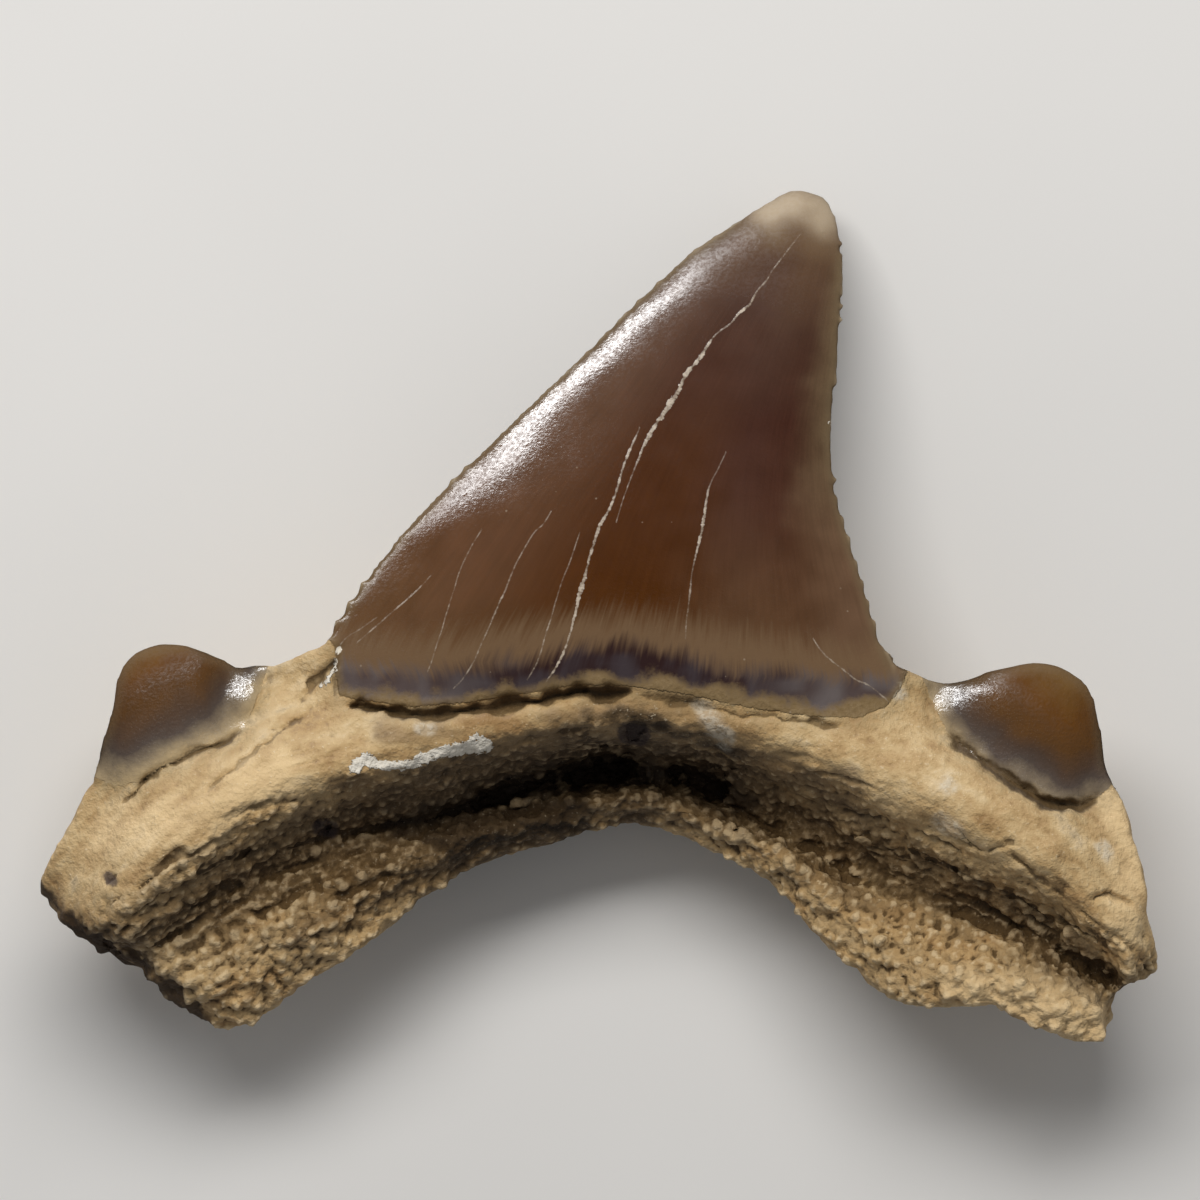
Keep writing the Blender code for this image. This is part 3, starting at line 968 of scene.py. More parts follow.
# %% [markdown]
# Each point near a crack gets the distance to its line, signed so that the finish can tell its two sides,
# and the crack's width there. Two strands may run side by side, so the cracks are kept in two sets that
# don't touch each other.

# %% Distances to the cracks
SECOND_SET = (1, 6)
CRACK_STEPS = 4
BEYOND_END = 3
INTO_ROOT = -0.6
on_blade = np.flatnonzero((enamel > INTO_ROOT) & (normals[:, 2] > 0))
for set_number in (0, 1):
    near, from_line = np.full(len(points), FAR), np.full(len(points), FAR)
    crack_width = np.zeros(len(points))
    for number, crack in enumerate(ENAMEL_CRACKS):
        if (number in SECOND_SET) != (set_number == 1):
            continue
        line = flow(crack, np.linspace(0, len(crack) - 1, CRACK_STEPS * len(crack)))
        away, signed, share = to_line(flat[on_blade], line[:, :2])
        width = np.interp(share, shares_along(line[:, :2]), line[:, 2]) * STEP
        beyond = np.where((share <= 0) | (share >= 1), away * BEYOND_END, away)
        closer = beyond < near[on_blade]
        here = on_blade[closer]
        near[here], from_line[here], crack_width[here] = beyond[closer], signed[closer], width[closer]
    paint(f"crack_near_{set_number}", near)
    paint(f"crack_side_{set_number}", from_line)
    paint(f"crack_width_{set_number}", crack_width)
    print("crack set", set_number, "reaches a width of", crack_width.max().round(2), "mm")

# %% [markdown]
# Marks that time has left, and painted light and shade: pale mineral crusts, frosty patches, dark stains in
# pits that also hold painted shade, soil with painted shade, brown parts that are partly painted shade, and
# parts painted lighter as painted light. Each is a line with a half width, and the finish gets how far inside
# it a point lies.

# %% Marks
# Each mark: line on the grid, half width in mm
CRUSTS = [
    ([(340, 648), (338, 656), (335, 668), (329, 679), (322, 686)], 0.035),
    ([(832, 424), (834, 432), (835, 441)], 0.050),
    ([(839, 478), (840, 486), (842, 494)], 0.050),
    ([(356, 766), (363, 759), (372, 760)], 0.13),
    ([(370, 761), (384, 765), (397, 764), (412, 764)], 0.10),
    ([(412, 764), (424, 757), (435, 753), (462, 748)], 0.11),
    ([(455, 749), (470, 747), (486, 745)], 0.15),
    ([(472, 741), (476, 737), (485, 741)], 0.08),
]
FROST = [
    ([(704, 714), (715, 724), (728, 736)], 0.28),
    ([(946, 783), (949, 787)], 0.16),
    ([(938, 818), (946, 824), (955, 828)], 0.22),
    ([(1101, 843), (1107, 850)], 0.17),
    ([(421, 726), (428, 730)], 0.14),
    ([(896, 690), (900, 694)], 0.12),
]
# Dark spots in three pits: stains, and painted shade where the pits lie
PIT_STAINS_AND_SHADE = [
    ([(110, 876), (114, 880)], 0.13),
    ([(322, 827), (330, 829)], 0.20),
    ([(628, 733), (640, 735)], 0.24),
]
# Parts of the ridge and the lip painted dark: soil, and painted shade on the lip under the overhang
SOIL_AND_SHADE_PARTS = [
    ([(592, 717), (622, 711), (652, 716)], 0.16), ([(440, 842), (480, 834), (520, 820), (580, 806)], 0.42),
    ([(400, 828), (470, 804), (540, 780), (600, 768), (660, 770), (710, 784), (750, 802)], 0.28),
    ([(640, 722), (690, 734), (740, 752)], 0.16),
]
# Parts of the ridge and the lip painted lighter as painted light
PAINTED_LIGHT_PARTS = [
    ([(110, 830), (200, 815), (280, 770)], 0.50),
    ([(1110, 800), (1128, 860), (1125, 930)], 0.45),
    ([(960, 985), (1030, 1000), (1095, 1030)], 0.45),
]
# Brown parts of the lip and of the ridge, partly painted shade
BROWN_AND_SHADE_PARTS = [
    ([(300, 930), (360, 905), (430, 870), (500, 842), (560, 820)], 0.45),
    ([(560, 724), (600, 713), (640, 706), (690, 716), (750, 732)], 0.42),
    ([(590, 800), (650, 806), (700, 820)], 0.35),
    ([(800, 870), (860, 900), (900, 915)], 0.35),
    ([(740, 750), (800, 775), (850, 800)], 0.35),
    ([(60, 925), (100, 930), (140, 925)], 0.30),
    ([(340, 782), (360, 778), (380, 784)], 0.20),
    ([(395, 736), (430, 738), (470, 730)], 0.22),
]
MARKS = {
    "crust": CRUSTS, "frost": FROST, "pit_stain_and_shade": PIT_STAINS_AND_SHADE, "brown_and_shade": BROWN_AND_SHADE_PARTS, "soil_and_shade": SOIL_AND_SHADE_PARTS,
    "painted_light_part": PAINTED_LIGHT_PARTS,
}
for name, marks in MARKS.items():
    paint(name, np.max([half_width - to_line(flat, line)[0] for line, half_width in marks], axis=0))
print("marks:", {name: len(marks) for name, marks in MARKS.items()})

# %% [markdown]
# Soil and painted shade fill the trough of the root: it is painted dark. Its half width changes along the
# arch.

# %% Trough
TROUGH = [
    (60, 925), (130, 942), (190, 912), (250, 886), (320, 862), (400, 838), (500, 804), (600, 778), (660, 772),
    (720, 782), (800, 828), (860, 856), (900, 872), (1000, 918), (1060, 953), (1125, 990),
]
TROUGH_HALF_WIDTH = (
    0.10, 0.30, 0.60, 0.85, 1.10, 1.30, 1.45, 1.25, 1.05, 0.95, 0.80, 0.70, 0.60, 0.50, 0.40, 0.30,
)
trough_away, _, trough_share = to_line(flat, TROUGH)
trough_width = np.interp(trough_share, shares_along(TROUGH), TROUGH_HALF_WIDTH)
paint("trough", trough_width - trough_away)
print("points in the trough:", int((trough_width > trough_away).sum()))

# %% [markdown]
# Last come soft clouds of three kinds, which make each colour uneven: big ones, middling ones, and patches
# that are drawn out along the root's arch.

# %% Clouds for the colours
paint("big_cloud", 0.5 + layered((0.35, points, 1.3, 61), (0.15, points, 0.6, 62)))
paint("mid_cloud", 0.5 + layered((0.35, points, 0.5, 63), (0.2, points, 0.25, 64)))
paint("patches", 0.5 + layered(
    (0.30, long_places / (0.9, 0.45, 0.6), 1.0, 65), (0.28, long_places / (0.34, 0.20, 0.3), 1.0, 66)
))
print("numbers on each point:", len(skin.attributes))

# %% [markdown]
# ## The finish
#
# One material covers the tooth. It first works out enamel and root each by itself, then joins them along
# the enamel's edge. A few helpers keep the node work short. These bring in numbers and do sums: `read`
# brings a number from the skin, `calc`, `plus` and `times` work sums out, `other` is what a share leaves
# over, `sway` turns a cloud into a push to either side, and `soft` turns a number into a share from 0 to 1.

# %% Helpers for sums
finish = bpy.data.materials.new("fossil_tooth")
finish.use_nodes = True
nodes, links = finish.node_tree.nodes, finish.node_tree.links


def give(socket, value):
    """Feeds a socket from another one or with a value."""
    if isinstance(value, bpy.types.NodeSocket):
        links.new(value, socket)
    elif isinstance(value, tuple) and len(socket.default_value) == 4:
        socket.default_value = (*value, 1)
    else:
        socket.default_value = value


def read(name):
    """A number painted on the skin."""
    node = nodes.new("ShaderNodeAttribute")
    node.attribute_name = name
    return node.outputs["Fac"]


def calc(kind, *values):
    """A sum of one or more values."""
    node = nodes.new("ShaderNodeMath")
    node.operation = kind
    for socket, value in zip(node.inputs, values):
        give(socket, value)
    return node.outputs[0]


def plus(*values):
    """The sum of all values."""
    total = values[0]
    for value in values[1:]:
        total = calc("ADD", total, value)
    return total


def times(*values):
    """The product of all values."""
    total = values[0]
    for value in values[1:]:
        total = calc("MULTIPLY", total, value)
    return total


def other(share):
    """What a share leaves over."""
    return calc("SUBTRACT", 1.0, share)


def sway(cloud, strength):
    """A cloud from 0 to 1 as a push to either side."""
    return times(plus(cloud, -0.5), strength)


def soft(value, low, high):
    """0 at low and 1 at high, with a soft rise between."""
    if low > high:
        return other(soft(value, high, low))
    node = nodes.new("ShaderNodeMapRange")
    node.interpolation_type = "SMOOTHSTEP"
    for name, feed in (("Value", value), ("From Min", low), ("From Max", high)):
        give(node.inputs[name], feed)
    return node.outputs["Result"]


print("material:", finish.name)

# %% [markdown]
# These make colours and grain: `blend` mixes two colours, `coats` lays thin coats of colour over a first one,
# `ramp` picks from a row of colours, and `noise` and `spots` make grain of a size in mm.

# %% Helpers for colours and grain


def blend(share, first, second):
    """A mix of two colours."""
    node = nodes.new("ShaderNodeMix")
    node.data_type = "RGBA"
    for number, feed in ((0, share), (6, first), (7, second)):
        give(node.inputs[number], feed)
    return node.outputs[2]


def coats(colour, *layers):
    """A colour below some coats: each the share that it covers, and its colour."""
    for share, coat in layers:
        colour = blend(share, colour, coat)
    return colour


def ramp(value, *stops):
    """A colour from a row of (place, colour) stops."""
    node = nodes.new("ShaderNodeValToRGB")
    row = node.color_ramp.elements
    while len(row) < len(stops):
        row.new(1.0)
    for element, (place, colour) in zip(row, stops):
        element.position = place
        element.color = (*colour, 1)
    give(node.inputs["Fac"], value)
    return node.outputs["Color"]


def vector(x, y, z):
    """Three numbers as one place."""
    node = nodes.new("ShaderNodeCombineXYZ")
    for socket, value in zip(node.inputs, (x, y, z)):
        give(socket, value)
    return node.outputs[0]


def scaled(kind, place, by):
    """A place or a colour times one number (SCALE) or times one for each part (MULTIPLY)."""
    node = nodes.new("ShaderNodeVectorMath")
    node.operation = kind
    give(node.inputs[0], place)
    give(node.inputs["Scale" if kind == "SCALE" else 1], by)
    return node.outputs[0]


def noise(place, size, detail=2.0, roughness=0.5):
    """Cloudy noise from 0 to 1 with lumps of a size."""
    node = nodes.new("ShaderNodeTexNoise")
    for name, feed in (("Vector", place), ("Scale", 1 / size), ("Detail", detail), ("Roughness", roughness)):
        give(node.inputs[name], feed)
    return node.outputs["Fac"]


def spots(place, size):
    """Distance to the nearest of many random spots, in spot sizes."""
    node = nodes.new("ShaderNodeTexVoronoi")
    for name, feed in (("Vector", place), ("Scale", 1 / size)):
        give(node.inputs[name], feed)
    return node.outputs["Distance"]


def millimetres():
    """The place on a piece in mm, so that grain keeps its size wherever the piece lies."""
    return scaled("MULTIPLY", nodes.new("ShaderNodeTexCoord").outputs["Object"], (1 / METRES,) * 3)


place = millimetres()
split = nodes.new("ShaderNodeSeparateXYZ")
give(split.inputs[0], place)
place_x, place_y, _ = split.outputs
print("nodes so far:", len(nodes))

# %% [markdown]
# ### Grain and streaks
#
# Two fine noises stand for grit and crumbs everywhere. On the crown, streaks fan out from the tip as its
# enamel grew, so they use the share between the two cutting edges. On the low cusps they run straight up.

# %% Grain and streaks
STREAKS_ON_CROWN, STREAKS_ON_CUSP, STREAK_LENGTH = 95.0, 6.5, 0.9
rise, side, rim, cusp = read("rise"), read("side"), read("rim"), read("cusp")
enamel_depth_here, band_depth, to_tip = read("enamel"), read("bands"), read("to_tip")
big_cloud, mid_cloud, patches = read("big_cloud"), read("mid_cloud"), read("patches")
on_crown = other(cusp)
grit = noise(place, 0.14, 2.0, 0.65)
crumbs = noise(place, 0.085, 2.0, 0.7)
streak_across = plus(times(side, STREAKS_ON_CROWN, on_crown), times(place_x, STREAKS_ON_CUSP, cusp))
streak_place = vector(streak_across, times(place_y, STREAK_LENGTH), 0.0)
streaks = noise(streak_place, 1.0, 2.0, 0.6)
fine_streaks = noise(scaled("MULTIPLY", streak_place, (2.6, 1.0, 1.0)), 1.0, 1.0, 0.5)
print("nodes so far:", len(nodes))

# %% [markdown]
# ### Enamel
#
# Glossy brown, warmer and more orange towards the base, with a mauve tint on the left shoulder and a redder
# zone right of the long crack. Three ramps from base to tip are mixed across the crown: one for its left,
# one for its middle and one for its right.

# %% Crown colours
wavy_rise = plus(rise, sway(big_cloud, 0.05))
wavy_side = plus(side, sway(mid_cloud, 0.05))
left_colours = ramp(
    wavy_rise, (0.05, (0.105, 0.052, 0.022)), (0.25, (0.108, 0.050, 0.024)), (0.5, (0.112, 0.058, 0.034)),
    (0.72, (0.110, 0.062, 0.042)), (0.84, (0.120, 0.068, 0.042)), (0.91, (0.140, 0.082, 0.046)),
)
middle_colours = ramp(
    wavy_rise, (0.08, (0.070, 0.026, 0.007)), (0.2, (0.066, 0.021, 0.004)), (0.42, (0.066, 0.023, 0.008)),
    (0.62, (0.066, 0.027, 0.016)), (0.76, (0.078, 0.040, 0.028)), (0.90, (0.110, 0.062, 0.036)),
)
right_colours = ramp(
    wavy_rise, (0.05, (0.105, 0.055, 0.027)), (0.22, (0.090, 0.043, 0.021)), (0.38, (0.066, 0.027, 0.016)),
    (0.52, (0.058, 0.022, 0.014)), (0.70, (0.070, 0.034, 0.022)), (0.86, (0.110, 0.062, 0.034)),
    (0.94, (0.150, 0.090, 0.050)),
)
right_rim = blend(soft(wavy_rise, 0.5, 0.2), (0.150, 0.102, 0.056), (0.135, 0.078, 0.046))
crown_colour = coats(
    left_colours,
    (soft(wavy_side, 0.12, 0.42), middle_colours),
    (soft(wavy_side, 0.50, 0.70), right_colours),
    (times(soft(wavy_side, 0.79, 0.98), 0.85), right_rim),
)
print("nodes so far:", len(nodes))

# %% [markdown]
# The cusps are more orange, and their colours follow the depth from the enamel's edge: a cream lip, a grey
# band and then amber. Streaks and clouds make both crown and cusps uneven.

# %% Cusp colours
cusp_depth = plus(band_depth, sway(mid_cloud, 0.30), sway(grit, 0.12))
cusp_colour = ramp(
    times(cusp_depth, 0.4), (0.0, (0.480, 0.360, 0.200)), (0.07, (0.360, 0.275, 0.165)),
    (0.15, (0.210, 0.164, 0.112)), (0.23, (0.090, 0.068, 0.056)), (0.33, (0.082, 0.052, 0.036)),
    (0.50, (0.106, 0.050, 0.017)), (0.75, (0.125, 0.050, 0.009)), (1.0, (0.155, 0.082, 0.025)),
)
tone = plus(
    0.70,
    times(streaks, plus(0.34, times(cusp, -0.24))),
    times(mid_cloud, 0.20),
    times(fine_streaks, 0.12, on_crown),
    times(cusp, 0.16),
)
enamel_colour = scaled("SCALE", blend(cusp, crown_colour, cusp_colour), tone)
print("nodes so far:", len(nodes))

# %% [markdown]
# Near the crown's base come a streaky pale zone, a purple-grey band and a dull yellow lip. The band is
# darkest in the middle of the crown and greyer towards both sides.

# %% Bands near the base
PALE_ZONE = (0.165, 0.102, 0.056)
BAND_DARK, BAND_PALE = (0.023, 0.011, 0.013), (0.044, 0.035, 0.042)
SIDE_BAND_DARK, SIDE_BAND_PALE = (0.080, 0.058, 0.056), (0.140, 0.120, 0.118)
LIP_DARK, LIP_PALE = (0.130, 0.082, 0.034), (0.29, 0.205, 0.105)
streaky = plus(sway(streaks, 1.0), sway(fine_streaks, 0.5))
pale_zone = times(soft(plus(band_depth, times(streaky, 0.85)), 2.0, 1.15), on_crown, 0.9)
to_sides = times(soft(calc("ABSOLUTE", plus(side, -0.5)), 0.14, 0.42), 0.9)
middle_band = blend(soft(plus(mid_cloud, sway(streaks, 0.5)), 0.2, 0.85), BAND_DARK, BAND_PALE)
side_band = blend(soft(mid_cloud, 0.2, 0.8), SIDE_BAND_DARK, SIDE_BAND_PALE)
band = times(soft(plus(band_depth, times(streaky, 0.50), sway(big_cloud, 0.4)), 1.16, 0.66), on_crown, 0.95)
low_lip = soft(plus(band_depth, sway(mid_cloud, 0.50), sway(grit, 0.30)), 0.44, 0.14)
side_lip = times(soft(enamel_depth_here, 0.24, 0.02), 0.7)
lip = times(calc("MAXIMUM", low_lip, side_lip), on_crown)
enamel_colour = coats(
    enamel_colour,
    (pale_zone, PALE_ZONE),
    (band, blend(to_sides, middle_band, side_band)),
    (lip, blend(grit, LIP_DARK, LIP_PALE)),
)
print("nodes so far:", len(nodes))

# %% [markdown]
# Enamel is thin along the cutting edges, so they are paler, and palest where they are chipped. The pale rims
# are also painted light, so that the steep edges, which turn away from the lamps, don't fall dark. The tip is
# worn to a cream colour.

# %% Rims and worn tip
# The two rim colours are partly the thin enamel's own colour and partly painted light on steep edges
RIM_AND_PAINTED_LIGHT, THIN_EDGE_AND_PAINTED_LIGHT, CHIP = (0.175, 0.125, 0.070), (0.36, 0.28, 0.18), (0.42, 0.36, 0.26)
NEAR_TIP, TIP_CREAM = (0.165, 0.106, 0.060), (0.44, 0.35, 0.245)
above_base = soft(enamel_depth_here, 0.1, 0.6)
worn = plus(to_tip, sway(mid_cloud, 0.30))
enamel_colour = coats(
    enamel_colour,
    (times(soft(rim, 0.34, 0.06), above_base, plus(0.75, times(cusp, -0.35))), RIM_AND_PAINTED_LIGHT),
    (times(soft(rim, 0.14, 0.02), above_base, on_crown, 0.75), THIN_EDGE_AND_PAINTED_LIGHT),
    (times(soft(worn, 1.20, 0.45), on_crown), NEAR_TIP),
    (times(soft(worn, 0.70, 0.05), on_crown), TIP_CREAM),
    (times(soft(read("nick"), 0.25, 0.6), soft(rim, 0.10, 0.04), 0.7), CHIP),
)
print("nodes so far:", len(nodes))

# %% [markdown]
# ### Filling of the cracks
#
# Where a crack is wide, pale chips fill it unevenly, so grit decides how far out from its line they reach.
# Where it is narrow only a hair line is left. A few pale specks sit on the enamel too.

# %% Filling of the cracks
FILLING_DARK, FILLING_PALE, SPECK = (0.19, 0.140, 0.098), (0.54, 0.46, 0.37), (0.34, 0.27, 0.20)


def crack_mark(set_number):
    """A share from 0 to 1: a hair line, and chips of filling where the crack is wide."""
    width = read(f"crack_width_{set_number}")
    from_line = calc("ABSOLUTE", read(f"crack_side_{set_number}"))
    chip_reach = times(width, plus(-0.34, times(grit, 0.80), times(crumbs, 0.35)))
    chips = soft(calc("SUBTRACT", from_line, chip_reach), 0.012, -0.010)
    chips = times(chips, plus(0.25, soft(width, 0.02, 0.10)))
    hair = soft(calc("SUBTRACT", from_line, times(width, 0.10)), 0.018, 0.002)
    hair = times(hair, plus(0.15, times(soft(grit, 0.3, 0.7), 0.4)))
    close_by = soft(calc("SUBTRACT", read(f"crack_near_{set_number}"), times(width, 0.6)), 0.07, 0.04)
    return times(calc("MAXIMUM", chips, hair), close_by)


crack = calc("MINIMUM", calc("MAXIMUM", crack_mark(0), crack_mark(1)), 1.0)
filling_tone = soft(plus(times(grit, 0.6), times(crumbs, 0.4)), 0.36, 0.66)
specks = times(soft(spots(place, 0.42), 0.070, 0.040), soft(big_cloud, 0.62, 0.75))
enamel_colour = coats(
    enamel_colour,
    (crack, blend(filling_tone, FILLING_DARK, FILLING_PALE)),
    (times(specks, 0.5), SPECK),
)
print("nodes so far:", len(nodes))

# %% [markdown]
# ### Root
#
# Tan and ochre with paler and browner patches. Dark soil and painted shade sit in every hollow and fill the
# trough, so the coats ask how hollow the surface is and paint it darker; the tops of the grains stay pale.

# %% Root, soil and painted shade
OCHRE_BROWN, SOIL_AND_SHADE_DARK, SOIL_AND_SHADE_PALE = (0.27, 0.165, 0.070), (0.040, 0.022, 0.008), (0.120, 0.070, 0.027)
SOILED_GRAIN, THICK_SOIL_AND_SHADE = (0.34, 0.235, 0.125), (0.036, 0.022, 0.011)
below, hollow_fine, hollow_wide = read("below_ridge"), read("hollow_fine"), read("hollow_wide")
bead = spots(place, 0.16)
root_tone = plus(times(patches, 0.50), times(grit, 0.50), times(big_cloud, 0.2), -0.105)
root_colour = ramp(
    root_tone, (0.20, (0.345, 0.207, 0.086)), (0.42, (0.505, 0.340, 0.160)), (0.60, (0.600, 0.434, 0.225)),
    (0.86, (0.72, 0.565, 0.350)),
)
# Brown, and partly painted shade on the lip and the lower root
brown_and_shade_here = soft(plus(read("brown_and_shade"), sway(patches, 0.7)), -0.25, 0.35)
brown_and_shade = calc("MAXIMUM", times(below, soft(patches, 0.25, 0.75), 0.5), times(brown_and_shade_here, 0.75))
# Soil and painted shade: hollows, creases and pressed cracks are painted darker, the deeper the darker
soil_and_hollow_shade = soft(
    plus(
        times(hollow_fine, plus(13.0, times(below, 5.0))),
        times(hollow_wide, 5.0),
        sway(grit, -0.9),
        times(bead, 0.55),
        times(read("pressed"), -3.5),
    ),
    0.40,
    1.15,
)
# Soil and painted shade: the trough is painted dark
trough = soft(plus(read("trough"), sway(patches, 0.7), sway(grit, 0.8)), -0.60, 0.60)
grains_up = soft(plus(times(hollow_fine, -12.0), sway(grit, 1.1)), -0.1, 0.45)
soil_and_shade = blend(grit, SOIL_AND_SHADE_DARK, SOIL_AND_SHADE_PALE)
# Soil and painted shade: these parts, the lip under the overhang most, are painted dark
soil_and_shade_part = soft(plus(read("soil_and_shade"), sway(patches, 0.5), sway(grit, 0.4)), -0.15, 0.25)
root_colour = coats(
    root_colour,
    (brown_and_shade, OCHRE_BROWN),
    (times(soil_and_hollow_shade, plus(0.65, times(below, 0.22))), soil_and_shade),
    (times(trough, 0.90), blend(times(grains_up, 0.55), soil_and_shade, SOILED_GRAIN)),
    (times(soil_and_shade_part, 0.85), THICK_SOIL_AND_SHADE),
)
print("nodes so far:", len(nodes))

# %% [markdown]
# Over that come the bright things: a painted highlight on the tops of the grains, parts painted lighter as
# painted light, pale specks and frosty patches. Last are the dark stains, painted darker in their pits as
# painted shade, and the left lobe's broken end, which is nearly black: its own dark colour and painted shade.

# %% Grains, frost and stains
GRAIN_TOP_HIGHLIGHT, PAINTED_LIGHT, PALE_SPECK, FROSTY = (
    (0.80, 0.640, 0.400), (0.80, 0.595, 0.330), (0.78, 0.66, 0.47), (0.66, 0.60, 0.49)
)
NEAR_GAP, PIT_STAIN_AND_SHADE = (0.20, 0.140, 0.062), (0.045, 0.028, 0.030)
BREAK_AND_SHADE_DARK, BREAK_AND_SHADE_PALE = (0.024, 0.013, 0.008), (0.10, 0.058, 0.030)
out_of_trough = other(times(trough, 0.7))
# Painted highlight: the tops of the grains are painted pale
grain_top_highlight = times(soft(times(hollow_fine, -1.0), 0.006, 0.030), below, out_of_trough, other(soil_and_shade_part))
# Painted light: some parts of the ridge and the lip are painted lighter
painted_light_part = soft(plus(read("painted_light_part"), sway(patches, 0.6)), -0.25, 0.35)
pale_specks = times(soft(crumbs, 0.60, 0.74), soft(grit, 0.42, 0.55), other(times(below, 0.5)))
near_gap = times(soft(enamel_depth_here, -0.50, -0.02), soft(grit, 0.30, 0.62))
frost = soft(plus(read("frost"), sway(patches, 0.3)), -0.06, 0.14)
frost = times(frost, plus(0.45, times(soft(grit, 0.42, 0.58), 0.55)))
# Stains and painted shade: the pits are painted dark
pit_stain_and_shade = soft(plus(read("pit_stain_and_shade"), sway(grit, 0.16)), -0.04, 0.06)
# The broken end's own dark colour and painted shade: its face is painted nearly black
broken_end_and_shade = soft(plus(read("break_here"), sway(patches, 0.9), sway(grit, 0.5)), 0.35, 0.85)
root_colour = coats(
    root_colour,
    (times(grain_top_highlight, 0.5), GRAIN_TOP_HIGHLIGHT),
    (times(painted_light_part, 0.55), PAINTED_LIGHT),
    (times(pale_specks, 0.45), PALE_SPECK),
    (times(near_gap, 0.45), NEAR_GAP),
    (times(frost, 0.6), FROSTY),
    (times(pit_stain_and_shade, 0.8), PIT_STAIN_AND_SHADE),
    (times(broken_end_and_shade, 0.9), blend(grit, BREAK_AND_SHADE_DARK, BREAK_AND_SHADE_PALE)),
)
print("nodes so far:", len(nodes))

# %% [markdown]
# ### Enamel and root together
#
# One share tells enamel from root and changes over a few hundredths of a millimetre. The gap below the
# enamel is dark with soil and painted shade, darkest where it was pressed in deepest, and mineral crusts lie
# over both.

# %% Colour of the whole tooth
GAP_SOIL_AND_SHADE_DARK, GAP_SOIL_AND_SHADE_PALE = (0.030, 0.018, 0.008), (0.150, 0.092, 0.040)
CRUST_DARK, CRUST_PALE = (0.56, 0.50, 0.40), (0.97, 0.94, 0.86)
is_enamel = soft(plus(enamel_depth_here, sway(grit, 0.10)), -0.012, 0.022)
is_root = other(is_enamel)
# Soil and painted shade: the crack below the enamel is painted dark, the deeper it was pressed the darker
gap = soft(plus(times(read("pressed"), -1.0), sway(grit, 0.24)), 0.06, 0.22)
gap = times(gap, soft(calc("ABSOLUTE", enamel_depth_here), 0.42, 0.20))
crust = soft(plus(read("crust"), sway(grit, 0.26)), -0.010, 0.014)
colour = coats(
    blend(is_enamel, root_colour, enamel_colour),
    (times(gap, 0.80), blend(grit, GAP_SOIL_AND_SHADE_DARK, GAP_SOIL_AND_SHADE_PALE)),
    (crust, blend(crumbs, CRUST_DARK, CRUST_PALE)),
)
print("nodes so far:", len(nodes))

# %% [markdown]
# Polished enamel is smooth and root is rough. Wear dulls the tip, the lip and the tops of the cusps, and
# filling and crust are dull as well. A bump too fine for the mesh breaks up the lamp's mirror image.

# %% Roughness and fine relief
worn_tip = times(soft(worn, 0.9, 0.3), on_crown)
dull_cusp = times(soft(band_depth, 1.2, 2.2), cusp)
upper_left = times(soft(to_tip, 4.8, 2.4), soft(side, 0.34, 0.14))
enamel_roughness = plus(
    0.11,
    times(cusp, 0.06),
    times(soft(to_tip, 2.8, 1.4), 0.14),
    times(upper_left, 0.07),
    times(dull_cusp, 0.50),
    times(crumbs, 0.10),
    times(mid_cloud, 0.08),
    times(worn_tip, 0.25),
    times(lip, 0.40),
    times(crack, 0.5),
    times(crust, 0.5),
)
root_roughness = plus(0.80, sway(grit, 0.5), times(grains_up, below, -0.15))
enamel_height = plus(
    times(crumbs, plus(0.0060, times(cusp, 0.0120))), times(crack, 0.006), times(lip, grit, 0.04)
)
root_height = plus(
    sway(grit, 0.055), times(bead, plus(-0.012, times(below, -0.040))),
    times(crust, plus(0.02, times(grit, 0.04))), times(crumbs, 0.012),
)
bump = nodes.new("ShaderNodeBump")
bump.inputs["Distance"].default_value = METRES
give(bump.inputs["Height"], plus(times(is_enamel, enamel_height), times(is_root, root_height)))
print("nodes so far:", len(nodes))

# %% [markdown]
# The enamel mirrors most on the crown's left shoulder, a third to two thirds up, and at the saddles. Its
# polish is full of tiny scratches, so crumbs of it shine and others don't.

# %% Shine
below_shoulder = times(soft(rise, 0.46, 0.22), on_crown)
above_shoulder = times(soft(rise, 0.68, 0.86), on_crown)
shine = plus(
    0.58,
    times(cusp, 0.20),
    times(below_shoulder, -0.38),
    times(above_shoulder, -0.26),
    times(dull_cusp, -0.62),
)
sparkle = plus(0.38, times(soft(plus(times(crumbs, 0.7), times(grit, 0.3)), 0.38, 0.62), 0.85))
shine = calc("MAXIMUM", times(shine, sparkle), 0.04)

ROOT_SHINE, ENAMEL_IOR = 0.5, 1.6
shader = nodes["Principled BSDF"]
give(shader.inputs["Base Color"], colour)
give(shader.inputs["Roughness"], plus(times(is_enamel, enamel_roughness), times(is_root, root_roughness)))
give(shader.inputs["Specular IOR Level"], plus(times(is_enamel, shine), times(is_root, ROOT_SHINE)))
give(shader.inputs["Normal"], bump.outputs[0])
shader.inputs["IOR"].default_value = ENAMEL_IOR
print("finish:", len(nodes), "nodes")

# %% [markdown]
# ## The tooth in the scene
#
# The skin turns from millimetres into metres and becomes an object. It rides on the model's only body and
# stands for its only node. Smooth shading suits it, as the grain is fine enough to need no flat faces.

# %% Show the tooth
skin.vertices.foreach_set("co", (points * METRES).ravel())
skin.update()
tooth = bpy.data.objects.new("tooth_skin", skin)
bpy.context.scene.collection.objects.link(tooth)
skin.shade_smooth()
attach(tooth, "root")
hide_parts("tooth")
skin.materials.append(finish)
print("tooth:", np.ptp(points, axis=0).round(2), "mm")

# %% [markdown]
# ## Table
#
# A small fossil is best shown on a plain pale table, far larger than the picture so that no edge shows. Its
# faint clouds are like those of stone or card. It isn't seen in the enamel, which would turn grey with it.

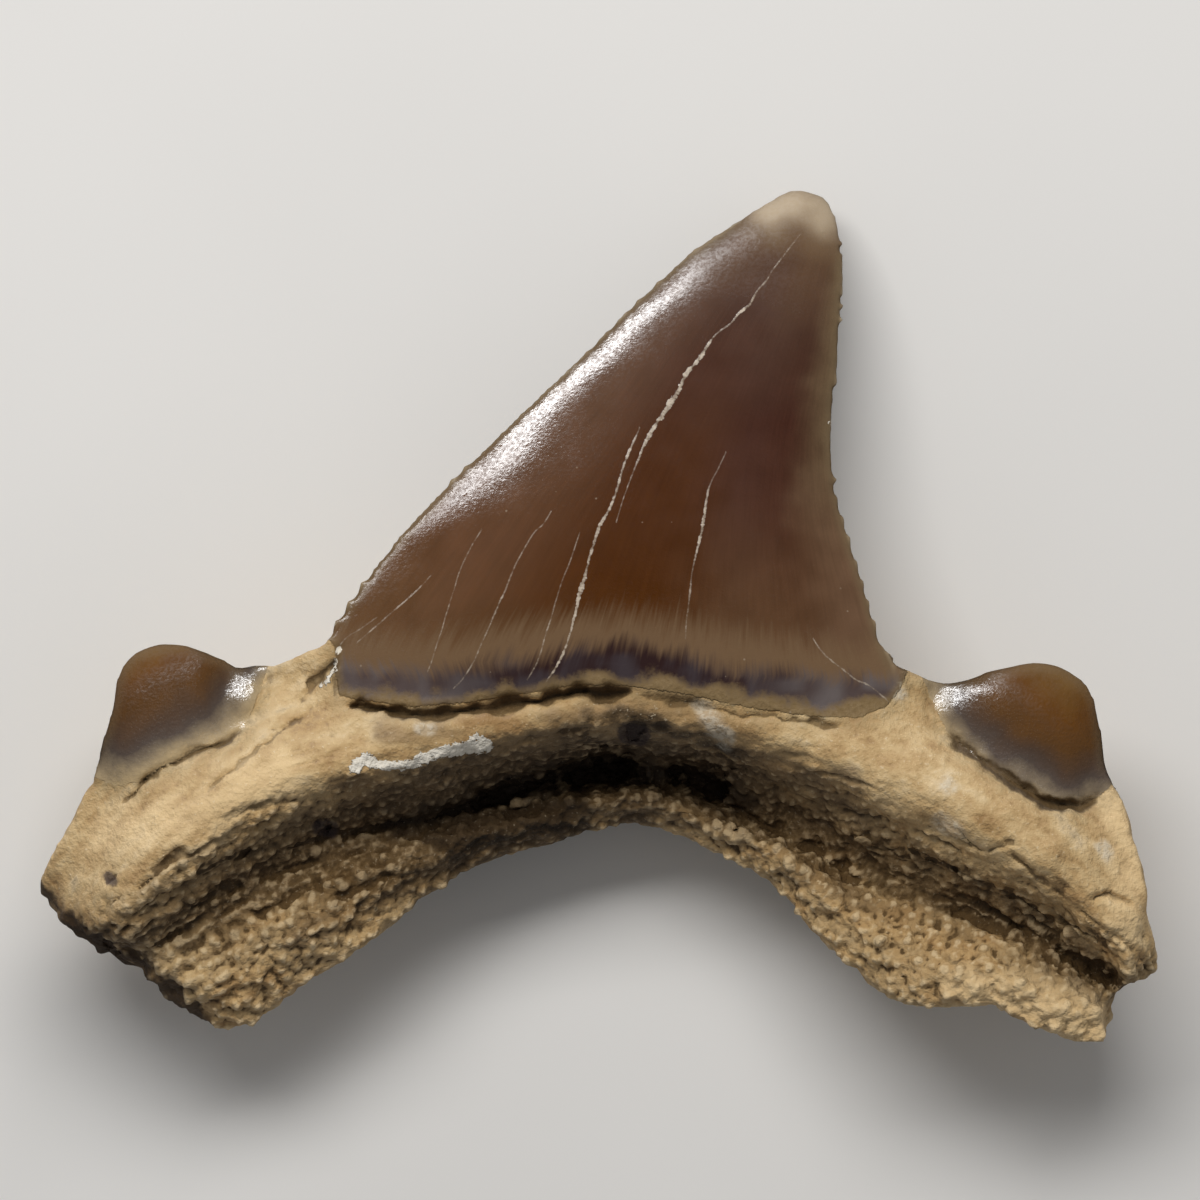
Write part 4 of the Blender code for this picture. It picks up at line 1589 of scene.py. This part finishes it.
# %% Table
TABLE_SIZE = 1.2
TABLE_CLOUD = 14.0
TABLE_DARK, TABLE_PALE = (0.76, 0.755, 0.745), (0.83, 0.825, 0.815)
TABLE_ROUGHNESS = 0.6
bpy.ops.mesh.primitive_plane_add(size=TABLE_SIZE)
floor = bpy.context.object
floor.name = "floor"
floor.visible_glossy = False
table = bpy.data.materials.new("pale_table")
table.use_nodes = True
nodes, links = table.node_tree.nodes, table.node_tree.links
table_shader = nodes["Principled BSDF"]
give(table_shader.inputs["Base Color"], blend(noise(millimetres(), TABLE_CLOUD), TABLE_DARK, TABLE_PALE))
table_shader.inputs["Roughness"].default_value = TABLE_ROUGHNESS
floor.data.materials.append(table)
print("table:", table.name)

# %% [markdown]
# ## Light
#
# One soft lamp above the tooth models the relief. A narrow one, low behind its upper left, is only there
# to be mirrored in the enamel, so it gives no light of its own. A pale surround fills the shadows.

# %% Light
SURROUND, SURROUND_STRENGTH = (0.88, 0.875, 0.87, 1), 0.25
world = bpy.data.worlds.new("studio")
bpy.context.scene.world = world
world.use_nodes = True
surround = world.node_tree.nodes["Background"]
surround.inputs["Color"].default_value = SURROUND
surround.inputs["Strength"].default_value = SURROUND_STRENGTH
world.cycles_visibility.glossy = False


def softbox(name, place, size, power, colour):
    """A soft area light that faces the tooth."""
    lamp = bpy.data.lights.new(name, "AREA")
    lamp.shape = "RECTANGLE"
    lamp.size, lamp.size_y = size
    lamp.energy = power
    lamp.color = colour
    item = bpy.data.objects.new(name, lamp)
    item.location = place
    item.rotation_euler = (-Vector(place)).to_track_quat("-Z", "Y").to_euler()
    bpy.context.scene.collection.objects.link(item)
    return item


key = softbox(
    "key", place=(-0.014, 0.078, 0.113), size=(0.13, 0.05), power=0.175, colour=(1, 0.98, 0.95)
)
key.visible_glossy = False
glint = softbox("glint", place=(-0.06, 0.142, 0.027), size=(0.10, 0.030), power=0.22, colour=(1, 1, 1))
glint.visible_diffuse = False
print("lamps:", key.name, glint.name)

# %% [markdown]
# ## Camera
#
# It looks straight down from so far that the tooth's depth hardly changes its outline. The length of the
# lens follows from that height, so that the grid fills the picture exactly.

# %% Camera
CAMERA_HEIGHT = 0.40
FOCUS_HEIGHT = 0.0035
PICTURE_STEPS = 1200
SENSOR = 36.0
picture_width = PICTURE_STEPS * STEP * METRES
lens = bpy.data.cameras.new("camera")
lens.sensor_width = SENSOR
lens.lens = SENSOR * (CAMERA_HEIGHT - FOCUS_HEIGHT) / picture_width
camera = bpy.data.objects.new("camera", lens)
middle = at((PICTURE_STEPS / 2, PICTURE_STEPS / 2)) * METRES
camera.location = (middle[0], middle[1], CAMERA_HEIGHT)
bpy.context.scene.collection.objects.link(camera)
bpy.context.scene.camera = camera
bpy.context.scene.view_settings.view_transform = "Standard"
print("lens:", round(lens.lens), "mm")
